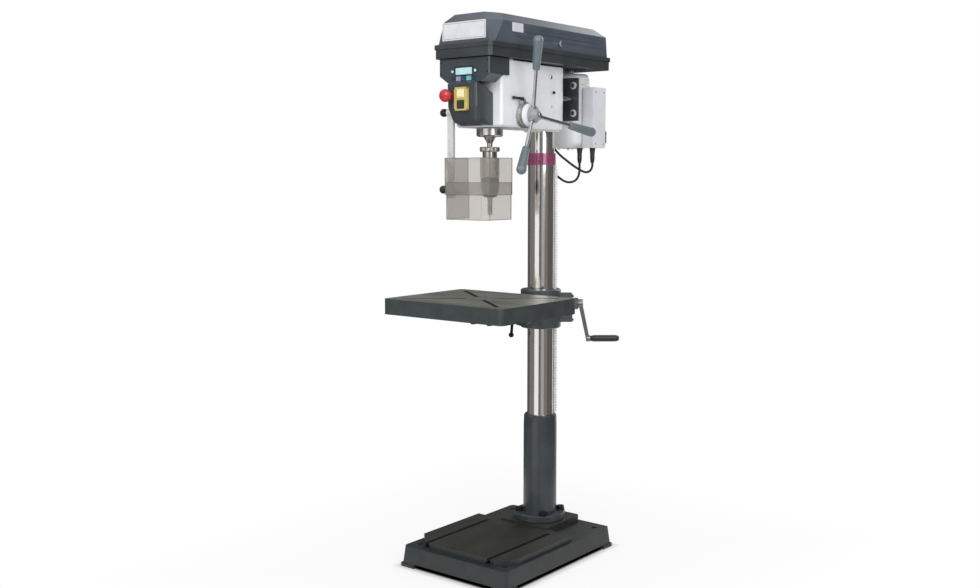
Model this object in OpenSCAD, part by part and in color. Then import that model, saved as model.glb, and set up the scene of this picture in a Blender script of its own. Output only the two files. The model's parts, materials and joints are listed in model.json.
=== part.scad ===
/* [Base] */
// Width of the base plate at the floor
base_w = 450; // [400:5:520]
// Depth of the base plate at the floor
base_d = 620; // [590:5:700]
// Distance from the column axis to the rear edge of the base
base_rear = 132; // [126:1:150]
// Height of the shelf that runs round the base
base_h = 68; // [60:1:80]
// How far the skirt leans in between floor and shelf
base_lean = 7; // [3:1:12]
// Wall thickness of the base casting
base_wall = 12; // [8:1:16]
// Height of the raised work block above the shelf
block_h = 20; // [16:1:28]
// Width of the raised work block
block_w = 404; // [380:2:412]
// Height of the column seat above the shelf
seat_h = 26; // [22:1:34]
// Side of the square column seat
seat_w = 204; // [190:2:216]
// Width between the two base slots
base_slot_gap = 260; // [220:5:290]
// Diameter of the anchor holes in the base corners
anchor_d = 18; // [12:1:22]
// Spacing of the anchor holes across the base
anchor_gap_x = 360; // [340:2:372]
// Spacing of the anchor holes along the base
anchor_gap_y = 510; // [480:2:516]

/* [T-slots] */
// Width of a slot at its mouth
slot_w = 14; // [10:1:18]
// Width of the wide part under the mouth
slot_t_w = 26; // [20:1:32]
// Depth of the mouth
slot_mouth = 10; // [8:1:12]
// Height of the wide part
slot_t_h = 9.5; // [7:0.5:9.5]

/* [Column] */
// Outside diameter of the column
column_d = 92; // [86:1:98]
// Wall thickness of the column tube
column_wall = 6; // [4:0.5:9]
// Outside diameter of the foot flange
foot_flange_d = 178; // [170:2:196]
// Thickness of the foot flange
foot_flange_t = 24; // [16:1:30]
// Outside diameter of the foot sleeve at its top
foot_sleeve_d = 114; // [110:1:120]
// Height of the top of the foot sleeve above the floor
foot_top = 466; // [400:2:468]
// Pitch circle of the four foot bolts
foot_bolt_pcd = 148; // [142:1:154]
// Thread diameter of the foot bolts
foot_bolt_d = 16; // [12:1:18]

/* [Rack] */
// Direction of the rack from the column axis, from the right towards the rear
rack_angle = 40; // [30:1:50]
// Width of the rack
rack_w = 16; // [12:1:18]
// Module of the rack teeth
rack_module = 3; // [2.5:0.5:3]
// Teeth on the lift pinion
lift_teeth = 14; // [14:1:15]
// Height of the underside of the rack collar above the floor
collar_z = 1332; // [1250:2:1360]
// Height of the rack collar
collar_h = 40; // [30:1:50]
// Thickness of the rack collar's wall
collar_wall = 4; // [3:0.5:6]

/* [Table] */
// Width of the table
table_w = 488; // [440:2:520]
// Depth of the table
table_d = 396; // [370:2:400]
// Height of the table surface above the floor at rest
table_z = 900; // [890:2:910]
// Distance from the column axis to the table's centre
table_reach = 336; // [331:1:345]
// Thickness of the table plate
table_plate = 16; // [14:1:20]
// Height of the table's edge
table_edge = 51; // [44:1:56]
// Thickness of the table's skirt
table_wall = 11; // [8:1:14]
// Start of a diagonal slot, from the table's centre
slot_start = 46; // [40:1:60]
// End of a diagonal slot, from the table's centre
slot_end = 254; // [210:2:262]
// Diameter of the tilt joint's flanges
tilt_flange_d = 100; // [92:2:104]
// Thread diameter of the tilt bolt
tilt_bolt_d = 20; // [16:1:24]

/* [Table bracket] */
// Outside diameter of the bracket collar
bracket_d = 140; // [136:1:146]
// Height of the bracket collar
bracket_h = 133; // [126:1:140]
// Height of the collar's top above the table surface
bracket_rise = 5; // [0:1:10]
// Drop from the table surface to the crank axis
crank_drop = 47; // [44:1:50]
// Diameter of the crank shaft
crank_shaft_d = 16; // [14:1:18]
// Length of the crank arm between its two axes
crank_throw = 126; // [110:2:140]
// Diameter of the crank grip
crank_grip_d = 23; // [20:1:28]
// Length of the crank grip
crank_grip_l = 100; // [80:2:120]

/* [Head casting] */
// Height of the head's underside above the floor
head_z = 1450; // [1430:2:1460]
// Height of the head casting
head_h = 208; // [200:1:212]
// Width of the head casting
head_w = 190; // [180:1:196]
// Distance from the column axis to the spindle axis
throat = 285; // [280:1:292]
// Distance from the spindle axis to the front of the casting
head_nose = 59; // [56:1:64]
// Distance from the column axis to the rear of the wide part
head_step = 161; // [155:1:168]
// Outside diameter of the boss round the column
boss_d = 144; // [138:1:150]

/* [Belt housing] */
// Width of the belt tray
tray_w = 236; // [230:1:244]
// Length of the belt tray
tray_l = 684; // [676:2:700]
// Distance from the column axis to the front of the tray
tray_front = 429; // [426:1:436]
// Height of the belt tray
tray_h = 43; // [38:1:48]
// Gap between the head casting and the tray
tray_gap = 5; // [4:1:8]
// Width of the lid at its foot
lid_w = 222; // [216:1:226]
// Height of the lid's upright wall
lid_wall_h = 69; // [62:1:76]
// Height of the lid's bevel above the wall
lid_bevel_h = 26; // [22:1:32]
// How far the bevel leans in at the sides
lid_bevel = 28; // [20:1:36]
// Wall thickness of tray and lid
shell = 3; // [2.5:0.5:4]

/* [Belt drive] */
// Distance between two steps of a pulley
step_pitch = 17; // [15:1:18]
// Radius of the largest step
step_r = 66; // [60:1:68]
// Change of radius from step to step
step_drop = 12; // [10:1:14]
// Depth of a belt groove
groove = 7; // [5:1:8]
// Distance from the column axis forward to the idler axis
idler_y = 62; // [60:1:66]

/* [Motor] */
// Diameter of the motor body
motor_d = 140; // [130:1:146]
// Distance from the column axis to the motor axis
motor_y = 175; // [172:1:182]
// Height of the motor body
motor_h = 258; // [240:2:262]
// Thickness of the motor plate
motor_plate_t = 10; // [8:1:12]
// Width of the motor plate
motor_plate_w = 164; // [150:2:170]
// Height of the motor plate
motor_plate_h = 146; // [136:2:150]
// Diameter of the slide bars
slide_bar_d = 18; // [16:1:20]
// Distance between the slide bars
slide_bar_gap = 120; // [118:1:122]
// Height of the terminal box
box_h = 206; // [190:2:210]

/* [Spindle] */
// Outside diameter of the quill
quill_d = 60; // [58:1:64]
// Diameter of the collar at the end of the quill
quill_collar_d = 86; // [80:1:90]
// Height of the collar at the end of the quill
quill_collar_h = 29; // [24:1:34]
// Diameter of the spindle in its bearings
spindle_d = 20; // [18:1:22]
// Length from the quill's end to the top of the chuck
arbor_l = 33; // [28:1:40]
// Diameter of the chuck body
chuck_d = 60; // [54:1:64]
// Length of the chuck body and sleeve
chuck_l = 161; // [150:1:170]
// Diameter of the drill bit
bit_d = 16; // [13:1:18]
// Length of the drill bit below the jaws
bit_l = 65; // [50:1:67]

/* [Feed] */
// Module of the quill teeth and feed pinion
feed_module = 2.5; // [2:0.5:2.5]
// Teeth on the feed pinion
feed_teeth = 16; // [16:1:17]
// Height of the feed axis above the head's underside
feed_rise = 38; // [36:1:42]
// Diameter of the feed shaft
feed_shaft_d = 22; // [20:1:24]
// Diameter of the depth scale ring
dial_d = 82; // [76:1:86]
// Width of the depth scale ring
dial_w = 18; // [16:1:26]
// Diameter of the feed hub
hub_d = 52; // [46:1:56]
// Lean of the spokes away from the head, in degrees
spoke_lean = 17; // [10:1:22]
// Direction of the upper spoke, from rear through up
spoke_turn = 108; // [100:1:114]
// Distance along a spoke to the start of its grip
grip_start = 150; // [130:2:165]
// Length of a feed grip
grip_l = 108; // [90:2:120]

/* [Control panel] */
// Width of the upper part of the panel
panel_w = 204; // [198:1:212]
// Width of the lower part of the panel
panel_low_w = 120; // [110:1:126]
// Depth of the panel in front of the casting
panel_t = 84; // [78:1:90]
// How far the lower part stands out past the upper
panel_step = 13; // [10:1:16]
// Height of the upper part of the panel
panel_up_h = 52; // [48:1:56]
// Height of the sloping shoulders
panel_slope_h = 22; // [18:1:26]
// Diameter of the emergency stop
estop_d = 40; // [34:1:44]
// Width of the switch plate
switch_w = 54; // [48:1:58]
// Height of the switch plate
switch_h = 72; // [66:1:78]

/* [Chuck guard] */
// Outside width of the upper shield
guard_w = 184; // [178:1:190]
// Distance from the spindle axis to the front of the guard
guard_front = 135; // [130:1:138]
// Height of the underside of the upper shield
guard_up_z = 1235; // [1225:1:1245]
// Height of the upper shield
guard_up_h = 117; // [105:1:120]
// Height of the underside of the lower shield
guard_low_z = 1156; // [1150:1:1166]
// Height of the lower shield
guard_low_h = 119; // [110:1:124]
// Thickness of the shields
guard_t = 3; // [2:0.5:3]
// Width of the fold between front and side
guard_fold = 18; // [12:1:24]

/* [Hidden] */
$fn = 48;

// Clearances: a running fit, a gap between moving faces and a gap between still faces
fit = 0.05;
gap = 0.4;
seat = 0.3;
eps = 0.01;

// Heights and places that follow from the sizes above
base_y = base_rear - base_d / 2;
base_front = base_rear - base_d;
block_z = base_h + block_h;
seat_z = base_h + seat_h;
column_r = column_d / 2;
column_top = head_z + head_h - 18;
flange_z = seat_z + foot_flange_t;
block_front = base_front + 33;
block_cut = 66;
slot_depth = slot_mouth + slot_t_h;
anchor_y = base_front + 55;
foot_lip = 4;
corner_r = 14;
skirt_w = base_w - 2 * foot_lip;
skirt_d = base_d - 2 * foot_lip;
cell_x = 3;
cell_y = 4;
cell_rib = 10;
slot_rear = block_front + 330;

// Rack and lift gear
tooth_add = 0.8;
tooth_ded = 1;
rack_in = column_r + gap;
rack_pitch_r = rack_in + 5.7 + tooth_ded * rack_module;
rack_tip = rack_pitch_r + tooth_add * rack_module;
rack_z = foot_top + seat;
rack_len = collar_z - seat - rack_z;
rack_step = PI * rack_module;
rack_teeth = floor(rack_len / rack_step) - 1;
lift_r = lift_teeth * rack_module / 2;
lift_x = rack_pitch_r + lift_r;
lift_gear_w = rack_w - 2;
crank_z = table_z - crank_drop;
worm_drop = lift_r + tooth_add * rack_module + crank_shaft_d / 2 + 1;
lift_z = crank_z - worm_drop;
lift_phase = 360 / lift_teeth * ((lift_z - rack_z) / rack_step - floor((lift_z - rack_z) / rack_step));
housing_r = lift_x + lift_r + 3 + 8;
housing_w = 56;
housing_low = lift_z - lift_r - 8;
housing_top = crank_z + 36;

// Table
table_y0 = -table_reach - table_d / 2;
table_y1 = -table_reach + table_d / 2;
tilt_z = table_z - 62;
bracket_top = table_z + bracket_rise;
bracket_low = bracket_top - bracket_h;
tilt_y = table_y1 + 33;
tilt_r = tilt_flange_d / 2;
lug_x = -bracket_d / 2 - 14;
lug_z = table_z - 88;
lug_gap = 5;
lug_t = 18;

// Crank
crank_hub_r = housing_r + 22;
crank_arm_r = crank_hub_r + gap;
crank_arm_t = 16;
crank_lean = 28;
grip_r0 = crank_arm_r + crank_arm_t + crank_lean;
crank_tip_drop = sqrt(crank_throw * crank_throw - crank_lean * crank_lean);

// Head
spindle_y = -throat;
head_front = -throat - head_nose;
head_top = head_z + head_h;
boss_r = boss_d / 2;
quill_r = quill_d / 2;
feed_r = feed_teeth * feed_module / 2;
feed_rack_r = quill_r - tooth_add * feed_module - 1.5;
feed_y = spindle_y + feed_rack_r + feed_r;
feed_z = head_z + feed_rise;
feed_step = PI * feed_module;
quill_len = 172;
quill_top = head_z + quill_len;
quill_z = head_z - quill_collar_h;
feed_rack_low = head_z + 14;
feed_rack_n = ceil((quill_len - 10) / feed_step) + 1;
feed_phase = 360 / feed_teeth * ((feed_z - feed_rack_low) / feed_step - floor((feed_z - feed_rack_low) / feed_step));
hub_x = head_w / 2 + dial_w + 26;
hub_w = 36;
feed_gear_w = 20;

// Belt housing
tray_z = head_top + tray_gap;
tray_top = tray_z + tray_h;
tray_rear = tray_l - tray_front;
lid_inset = (tray_w - lid_w) / 2;
lid_front = tray_front - lid_inset * 2;
lid_rear = tray_rear - lid_inset * 2;
lid_z = tray_top + gap;
lid_wall_z = tray_top + lid_wall_h;
lid_top = lid_wall_z + lid_bevel_h;
hinge_r = 5;
hinge_x = -tray_w / 2 - hinge_r - 1;
hinge_z = tray_top;
hinge_y = [-tray_front + 110, tray_rear - 150];
knob_y = -55;
knob_z = tray_top + 22;

// Belt drive
pulley_z = tray_z + 22;
pulley_steps = 4;
belt_low = pulley_z + step_pitch * 1.5;
belt_high = pulley_z + step_pitch * 2.5;
belt_h = 6.4;
belt_t = 6;
idler_r = step_r - 10;
idler_pin_r = 8;
arm_l = 34;
rotor_r = 9.5;
drive_r = 21;

// Motor
motor_z = tray_z - 13 - motor_h;
plate_y = motor_y - motor_d / 2 - motor_plate_t;
plate_z = motor_z + 92;
bar_z = plate_z + motor_plate_h / 2;
slide_travel = 20;
box_x = motor_d / 2 - 2;
box_w = 48;
box_y = motor_y - 30;
box_d = 75;
box_z = motor_z;
gland_r = 9;
gland_l = 52;
cable_r = 4;

// Spindle and chuck
chuck_top = quill_z - arbor_l;
chuck_low = chuck_top - chuck_l;
chuck_r = chuck_d / 2;
chuck_split = chuck_low + 63;
jaw_lean = 7;
jaw_r = 4;
core_r = 19;
bit_r = bit_d / 2;
bit_top = chuck_low + 40;
bit_low = chuck_low - bit_l;
bearing_r = quill_r - 9;

// Panel
panel_front = head_front - panel_t + panel_step;
panel_low_front = panel_front - panel_step;
panel_top = head_top + 3;
panel_up_z = panel_top - panel_up_h;
panel_low_z = head_z + 4;
ear_back = head_front + 30;
switch_x = 4;
switch_z = head_z + 84;
estop_x = -44;
estop_z = head_z + 95;
display_w = 68;
display_h = 22;
display_z = panel_top - 40;
key_w = 19;
key_h = 14;

// Guard
pivot_x = -panel_low_w / 2;
pivot_y = panel_low_front + 37;
pivot_z = head_z + 46;
bar_w = 24;
bar_t = 10;
guard_x = guard_w / 2;
guard_y = spindle_y - guard_front;
shield_gap = 0.4;
bar_x0 = -guard_x + 2 * guard_t + 2 * shield_gap;
bar_low = guard_up_z - 12;
shield_knob_z = guard_up_z + 16;

// Cable routes, from the motor's glands to holes in the underside of the head's boss
gland_z = motor_z - gland_l - seat;
route_upper = [[100, 165, gland_z], [100, 165, gland_z - 10], [97, 163, 1318], [90, 159, 1310],
    [80, 154, 1308], [68, 149, 1312], [56, 141, 1320], [44, 129, 1331], [30, 112, 1347], [13, 93, 1367],
    [-2, 79, 1390], [-13, 68, 1412], [-20, 60, 1432], [-22, 58, head_z - 6], [-22, 58, head_z + 6]];
route_lower = [[66, 136, gland_z], [66, 136, gland_z - 16], [66, 134, 1305], [62, 131, 1289],
    [54, 125, 1278], [42, 116, 1273], [29, 105, 1275], [16, 95, 1284], [2, 83, 1300], [-14, 72, 1322],
    [-28, 62, 1350], [-38, 54, 1380], [-44, 46, 1410], [-47, 41, 1432], [-47, 40, head_z - 6],
    [-47, 40, head_z + 6]];

// Shared shapes
function hyp2(r, x) = sqrt(r * r - x * x);

function unit(v) = v / norm(v);

// Points of one involute flank, from the base circle out to the tip
function flank(base_r, tip_r, n, turn) = [for (i = [0:n])
    let (r = base_r + (tip_r - base_r) * i / n,
        roll = sqrt(max(r * r / (base_r * base_r) - 1, 0)),
        a = roll * 180 / PI - atan(roll) + turn)
    [r * cos(a), r * sin(a)]];

// Outline of a gear with involute teeth, with one tooth space centred on the X axis
function gear_outline(teeth, m, slack) =
    let (pr = teeth * m / 2, br = pr * cos(20), tip = pr + tooth_add * m,
        root = pr - tooth_ded * m - 0.3,
        half = 90 / teeth - slack / pr * 90 / PI,
        start = -half - (tan(20) * 180 / PI - 20),
        f = flank(br, tip, 4, start))
    [for (k = [0:teeth - 1]) let (a = 360 / teeth * (k + 0.5))
        each [for (p = concat([[root * cos(start), root * sin(start)]], f,
            [for (i = [4:-1:0]) [f[i][0], -f[i][1]]],
            [[root * cos(start), -root * sin(start)]]))
            [p[0] * cos(a) - p[1] * sin(a), p[0] * sin(a) + p[1] * cos(a)]]];

module gear(teeth, m, w) {
    linear_extrude(w, center = true) polygon(gear_outline(teeth, m, 0.3));
}

// A plate with rounded corners, centred on its place
module rounded_plate(w, d, h, r) {
    linear_extrude(h) {
        square([w - 2 * r, d], center = true);
        square([w, d - 2 * r], center = true);
        for (x = [-1, 1])
            for (y = [-1, 1])
                translate([x * (w / 2 - r), y * (d / 2 - r)]) circle(r);
    }
}

module rod(from, to, r) {
    v = to - from;
    translate(from) rotate([0, acos(v[2] / norm(v)), atan2(v[1], v[0])]) cylinder(r = r, h = norm(v));
}

// A bar along X, Y or the radial direction of the rack
module along_x() { rotate([0, 90, 0]) children(); }
module along_y() { rotate([-90, 0, 0]) children(); }
module at_rack() { rotate([0, 0, rack_angle]) children(); }

module hex_bolt(d, length, head_h) {
    translate([0, 0, -length]) cylinder(d = d, h = length + eps);
    cylinder(d = 1.85 * d, h = 2.5);
    translate([0, 0, 2.5]) cylinder(d = 1.73 * d, h = head_h, $fn = 6);
}

// A round tube that follows a list of points
function ring_frame(path, i) =
    let (n = len(path) - 1,
        t = unit(path[min(i + 1, n)] - path[max(i - 1, 0)]),
        s = unit(cross(t, [1, -1, 0])))
    [s, cross(t, s)];

module swept_tube(path, r, sides) {
    n = len(path);
    points = [for (i = [0:n - 1]) let (f = ring_frame(path, i)) for (k = [0:sides - 1])
        path[i] + r * (f[0] * cos(360 * k / sides) + f[1] * sin(360 * k / sides))];
    walls = [for (i = [0:n - 2]) for (k = [0:sides - 1])
        let (a = i * sides + k, b = i * sides + (k + 1) % sides)
        each [[a, b, b + sides], [a, b + sides, a + sides]]];
    caps = concat([for (k = [1:sides - 2]) [0, k + 1, k]],
        [for (k = [1:sides - 2]) let (e = (n - 1) * sides) [e, e + k, e + k + 1]]);
    polyhedron(points, concat(walls, caps));
}

// Base plate with skirt, shelf, work block, T-slots and ribs underneath
module work_block() {
    w = block_w / 2;
    polygon([[-w, block_front + block_cut], [-w + block_cut, block_front],
        [w - block_cut, block_front], [w, block_front + block_cut],
        [w, slot_rear + 30], [-w, slot_rear + 30]]);
}

module base_cells() {
    w = (skirt_w - 2 * base_wall - 2 * base_lean - (cell_x - 1) * cell_rib) / cell_x;
    d = (skirt_d - 2 * base_wall - 2 * base_lean - (cell_y - 1) * cell_rib) / cell_y;
    for (i = [0:cell_x - 1])
        for (j = [0:cell_y - 1])
            translate([(i - (cell_x - 1) / 2) * (w + cell_rib) - w / 2,
                base_y + (j - (cell_y - 1) / 2) * (d + cell_rib) - d / 2, -1])
                cube([w, d, base_h - 20]);
}

module base_slot() {
    translate([-slot_w / 2, block_front - 1, block_z - slot_depth])
        cube([slot_w, slot_rear - block_front + 1, slot_depth + 1]);
    translate([-slot_t_w / 2, block_front - 1, block_z - slot_depth])
        cube([slot_t_w, slot_rear - block_front + 1, slot_t_h]);
}

module anchor_places() {
    for (x = [-1, 1])
        for (y = [0, 1])
            translate([x * anchor_gap_x / 2, anchor_y + y * anchor_gap_y, 0]) children();
}

module foot_bolt_places() {
    for (a = [45:90:315])
        rotate([0, 0, a]) translate([foot_bolt_pcd / 2, 0, 0]) children();
}

module base_plate() {
    arch = 13;
    color("#36393a") difference() {
        union() {
            difference() {
                union() {
                    translate([0, base_y, 0]) rounded_plate(base_w, base_d, 9, corner_r);
                    hull() {
                        translate([0, base_y, 0]) rounded_plate(skirt_w, skirt_d, 1, corner_r, $fn = 32);
                        translate([0, base_y, base_h - 1])
                            rounded_plate(skirt_w - 2 * base_lean, skirt_d - 2 * base_lean, 1, corner_r, $fn = 32);
                    }
                }
                base_cells();
                translate([-base_w / 2 + 62, base_y - base_d, -1]) cube([base_w - 124, 2 * base_d, arch + 1]);
                translate([-base_w, base_front + 62, -1]) cube([2 * base_w, base_d - 124, arch + 1]);
            }
            translate([0, 0, base_h - eps]) linear_extrude(block_h + eps) work_block();
            translate([0, 0, base_h - eps]) rounded_plate(seat_w, seat_w, seat_h + eps, corner_r);
            cylinder(d = foot_bolt_pcd + 40, h = base_h - 10);
            anchor_places() cylinder(d = anchor_d + 32, h = base_h - 10);
        }
        for (x = [-1, 1]) translate([x * base_slot_gap / 2, 0, 0]) base_slot();
        anchor_places() translate([0, 0, -1]) cylinder(d = anchor_d, h = base_h + 2);
        foot_bolt_places() translate([0, 0, 20]) cylinder(d = foot_bolt_d + 0.6, h = seat_z);
    }
}

// Column foot: a turned flange that runs up into a long sleeve
module column_foot() {
    r = foot_sleeve_d / 2;
    color("#3f4648") difference() {
        rotate_extrude()
            polygon([[column_r + fit, seat_z], [foot_flange_d / 2 - 2, seat_z],
                [foot_flange_d / 2, seat_z + 2], [foot_flange_d / 2, flange_z - 3],
                [foot_flange_d / 2 - 3, flange_z], [r + 1.8, flange_z], [r + 1.6, flange_z + 22],
                [r + 1, foot_top - 40], [r, foot_top - 6], [r - 4, foot_top], [column_r + fit, foot_top]]);
        foot_bolt_places() translate([0, 0, seat_z - 1]) cylinder(d = foot_bolt_d + 0.6, h = foot_flange_t + 2);
    }
}

module foot_bolts() {
    color("#23282a") foot_bolt_places()
        translate([0, 0, flange_z]) hex_bolt(foot_bolt_d, foot_flange_t + 45, foot_bolt_d * 0.62);
}

module column() {
    color("#9a9692") translate([0, 0, seat_z]) difference() {
        cylinder(r = column_r, h = column_top - seat_z, $fn = 64);
        translate([0, 0, -1]) cylinder(r = column_r - column_wall, h = column_top - seat_z + 2, $fn = 64);
    }
}

// Rack: a straight bar with trapezoid teeth on its outer face
module rack() {
    root = rack_pitch_r - tooth_ded * rack_module - 0.3;
    q = rack_step / 4 - 0.15;
    lean = tan(20) * rack_module;
    color("#b9b7b2") at_rack() rotate([90, 0, 0]) linear_extrude(rack_w, center = true)
        polygon(concat([[rack_in, rack_z], [root, rack_z]],
            [for (i = [1:rack_teeth]) let (z = rack_z + i * rack_step)
                each [[root, z - q - lean * tooth_ded], [rack_tip, z - q + lean * tooth_add],
                    [rack_tip, z + q - lean * tooth_add], [root, z + q + lean * tooth_ded]]],
            [[root, rack_z + rack_len], [rack_in, rack_z + rack_len]]));
}

module rack_collar() {
    color("#8c3a5e") difference() {
        rotate_extrude()
            polygon([[column_r + fit, collar_z], [column_r + collar_wall - 1, collar_z],
                [column_r + collar_wall, collar_z + 1], [column_r + collar_wall, collar_z + collar_h - 1],
                [column_r + collar_wall - 1, collar_z + collar_h], [column_r + fit, collar_z + collar_h]]);
        rotate([0, 0, -60]) translate([0, 0, collar_z + collar_h / 2]) along_x() cylinder(d = 6, h = 80);
    }
}

// Head casting: wide front block, narrower web and a round boss on the column
module head_casting() {
    web_w = boss_d - 4;
    color("#d5d7dc") difference() {
        union() {
            hull() {
                for (x = [-1, 1]) {
                    translate([x * (head_w / 2 - 9), head_front + 9, head_z + 6]) cylinder(r = 9, h = head_h - 6, $fn = 32);
                    translate([x * (head_w / 2 - 3), -head_step - 3, head_z + 6]) cylinder(r = 3, h = head_h - 6, $fn = 32);
                    translate([x * (head_w / 2 - 15), head_front + 15, head_z]) cylinder(r = 9, h = 7, $fn = 32);
                    translate([x * (head_w / 2 - 9), -head_step - 9, head_z]) cylinder(r = 3, h = 7, $fn = 32);
                }
            }
            translate([-web_w / 2, -head_step - 20, head_z]) cube([web_w, head_step + 20, head_h]);
            rotate_extrude()
                polygon([[20, head_z], [boss_r - 4, head_z], [boss_r, head_z + 4], [boss_r, head_top], [20, head_top]]);
            translate([-web_w / 2 - 1, 0, bar_z - 20]) cube([web_w + 2, 24, 40]);
            translate([head_w / 2 - 1, feed_y, feed_z]) along_x() cylinder(d = dial_d - 6, h = 5);
            for (x = [-1, 1]) {
                translate([x * (web_w / 2 - 9), -120, head_top - eps]) cylinder(d = 16, h = tray_gap - seat);
                translate([x * (head_w / 2 - 12), -throat, head_top - eps]) cylinder(d = 16, h = tray_gap - seat);
            }
            translate([boss_r - 4, -52, head_z + 172]) along_x() cylinder(d = 16, h = 8);
            for (z = [122, 76]) translate([boss_r - 4, -44, head_z + z]) along_x() cylinder(d = 14, h = 6);
        }
        translate([0, 0, head_z - 1]) cylinder(r = column_r + fit, h = column_top - head_z + 1);
        translate([0, spindle_y, head_z - 1]) cylinder(r = quill_r + fit, h = quill_len + 5);
        translate([0, spindle_y, head_z]) cylinder(r = drive_r + fit, h = head_h + 2);
        translate([-arm_l, -idler_y, head_top - 12 - gap]) cylinder(r = 14 + fit, h = 20);
        translate([-web_w / 2 + 18, -205, head_z + 16]) cube([web_w - 36, 123, head_h]);
        for (x = [-1, 1])
            translate([x * (head_w / 4 + 18) - 17, spindle_y - 44, head_z + 16]) cube([34, 66, head_h]);
        for (r = [route_upper, route_lower])
            translate([r[len(r) - 1][0], r[len(r) - 1][1], head_z - 1]) cylinder(d = 14, h = 15);
        translate([-head_w / 2 - 10, feed_y, feed_z]) along_x() cylinder(d = feed_shaft_d + 2 * fit, h = head_w + 30);
        translate([0, feed_y, feed_z]) along_x() cylinder(r = feed_r + 5, h = 22, center = true);
        for (x = [-1, 1])
            translate([x * slide_bar_gap / 2, -62, bar_z]) along_y() cylinder(d = slide_bar_d + 2 * fit, h = 120);
        for (z = [122, 76]) translate([0, -44, head_z + z]) along_x() cylinder(d = 7, h = 90);
    }
}

// Belt tray: an open pan with a turned-out lip and bosses for the shafts
module tray_outline(grow) {
    w = tray_w / 2 + grow;
    c = 10;
    polygon([[-w, -tray_front - grow + c], [-w + c, -tray_front - grow], [w - c, -tray_front - grow],
        [w, -tray_front - grow + c], [w, tray_rear + grow - c], [w - c, tray_rear + grow],
        [-w + c, tray_rear + grow], [-w, tray_rear + grow - c]]);
}

module belt_tray() {
    color("#33373a") difference() {
        union() {
            translate([0, 0, tray_z]) linear_extrude(tray_h - 10) tray_outline(-3);
            translate([0, 0, tray_top - 14]) linear_extrude(14) tray_outline(0);
            for (y = hinge_y) for (k = [0, 1])
                translate([hinge_x, y + k * 34, hinge_z]) along_y() cylinder(r = hinge_r, h = 14);
            for (y = hinge_y) for (k = [0, 1])
                translate([hinge_x, y + k * 34, hinge_z - 12]) cube([hinge_r + 4, 14, 12]);
            for (y = hinge_y) translate([hinge_x, y, hinge_z]) along_y() cylinder(r = 2.4, h = 48);
        }
        translate([0, 0, tray_z + shell]) linear_extrude(tray_h) tray_outline(-3 - shell);
        translate([0, spindle_y, tray_z - 1]) cylinder(r = drive_r + 3, h = 20);
        translate([-arm_l, -idler_y, tray_z - 1]) cylinder(r = 16, h = 20);
        translate([0, motor_y - slide_travel / 2, tray_z - 1])
            linear_extrude(20) {
                square([2 * rotor_r + 12, slide_travel + 8], center = true);
                for (y = [-1, 1]) translate([0, y * (slide_travel / 2 + 4)]) circle(rotor_r + 6);
            }
    }
}

// Belt lid: a bevelled shell with a raised top panel and long side ribs
module lid_plan(w, front, rear, corner, back) {
    x = w / 2;
    polygon([[-x, -front + corner], [-x + corner * 0.45, -front], [x - corner * 0.45, -front],
        [x, -front + corner], [x, rear - back], [x - back, rear], [-x + back, rear], [-x, rear - back]]);
}

module lid_body(inset) {
    w = lid_w - 2 * inset;
    hull() {
        translate([0, 0, lid_z]) linear_extrude(1) lid_plan(w, lid_front - inset, lid_rear - inset, 16, 6);
        translate([0, 0, lid_wall_z - inset - 1])
            linear_extrude(1) lid_plan(w - 3, lid_front - inset - 1, lid_rear - inset - 4, 60, 8);
        translate([0, 0, lid_top - inset - 1]) linear_extrude(1)
            lid_plan(w - 2 * lid_bevel, lid_front - inset - lid_bevel, lid_rear - inset - lid_bevel * 1.4, 52, 14);
    }
}

module belt_lid() {
    rib_y0 = -lid_front + 112;
    rib_y1 = lid_rear - 34;
    color("#454a50") difference() {
        union() {
            difference() {
                lid_body(0);
                translate([0, 0, -1]) lid_body(shell);
                translate([0, 0, -20]) hull() {
                    translate([0, 0, lid_z]) linear_extrude(22)
                        lid_plan(lid_w - 2 * shell, lid_front - shell, lid_rear - shell, 16, 6);
                }
            }
            for (s = [-1, 1]) for (z = [30, 44, 58])
                translate([s * (lid_w / 2 - 2), (rib_y0 + rib_y1) / 2, tray_top + z])
                    cube([4, rib_y1 - rib_y0, 5], center = true);
            translate([0, (lid_rear - lid_front) / 2 - 6, lid_top - 1])
                rounded_plate(lid_w - 2 * lid_bevel - 34, lid_front + lid_rear - 190, 2.5, 12);
            for (y = hinge_y) {
                translate([hinge_x, y + 14 + gap, hinge_z]) along_y() cylinder(r = hinge_r, h = 20 - 2 * gap);
                translate([hinge_x, y + 14 + gap, hinge_z + 0.6])
                    cube([hinge_r + 1 + lid_inset + 5, 20 - 2 * gap, 3.6]);
            }
        }
        for (y = hinge_y) translate([hinge_x, y, hinge_z]) along_y() cylinder(r = 2.4 + fit, h = 60);
        translate([lid_w / 2 - 20, knob_y, knob_z]) along_x() cylinder(d = 8.1, h = 40);
    }
}

module lid_knob() {
    color("#c9ccd0") translate([lid_w / 2, knob_y, knob_z]) along_x() {
        translate([0, 0, -12]) cylinder(d = 8, h = 13);
        translate([0, 0, seat]) cylinder(d = 13, h = 3);
        translate([0, 0, 3]) cylinder(d1 = 16, d2 = 18, h = 3);
        translate([0, 0, 6]) cylinder(d = 18, h = 6);
        translate([-4, -3.5, -12]) cube([28, 7, 3]);
    }
}

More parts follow.
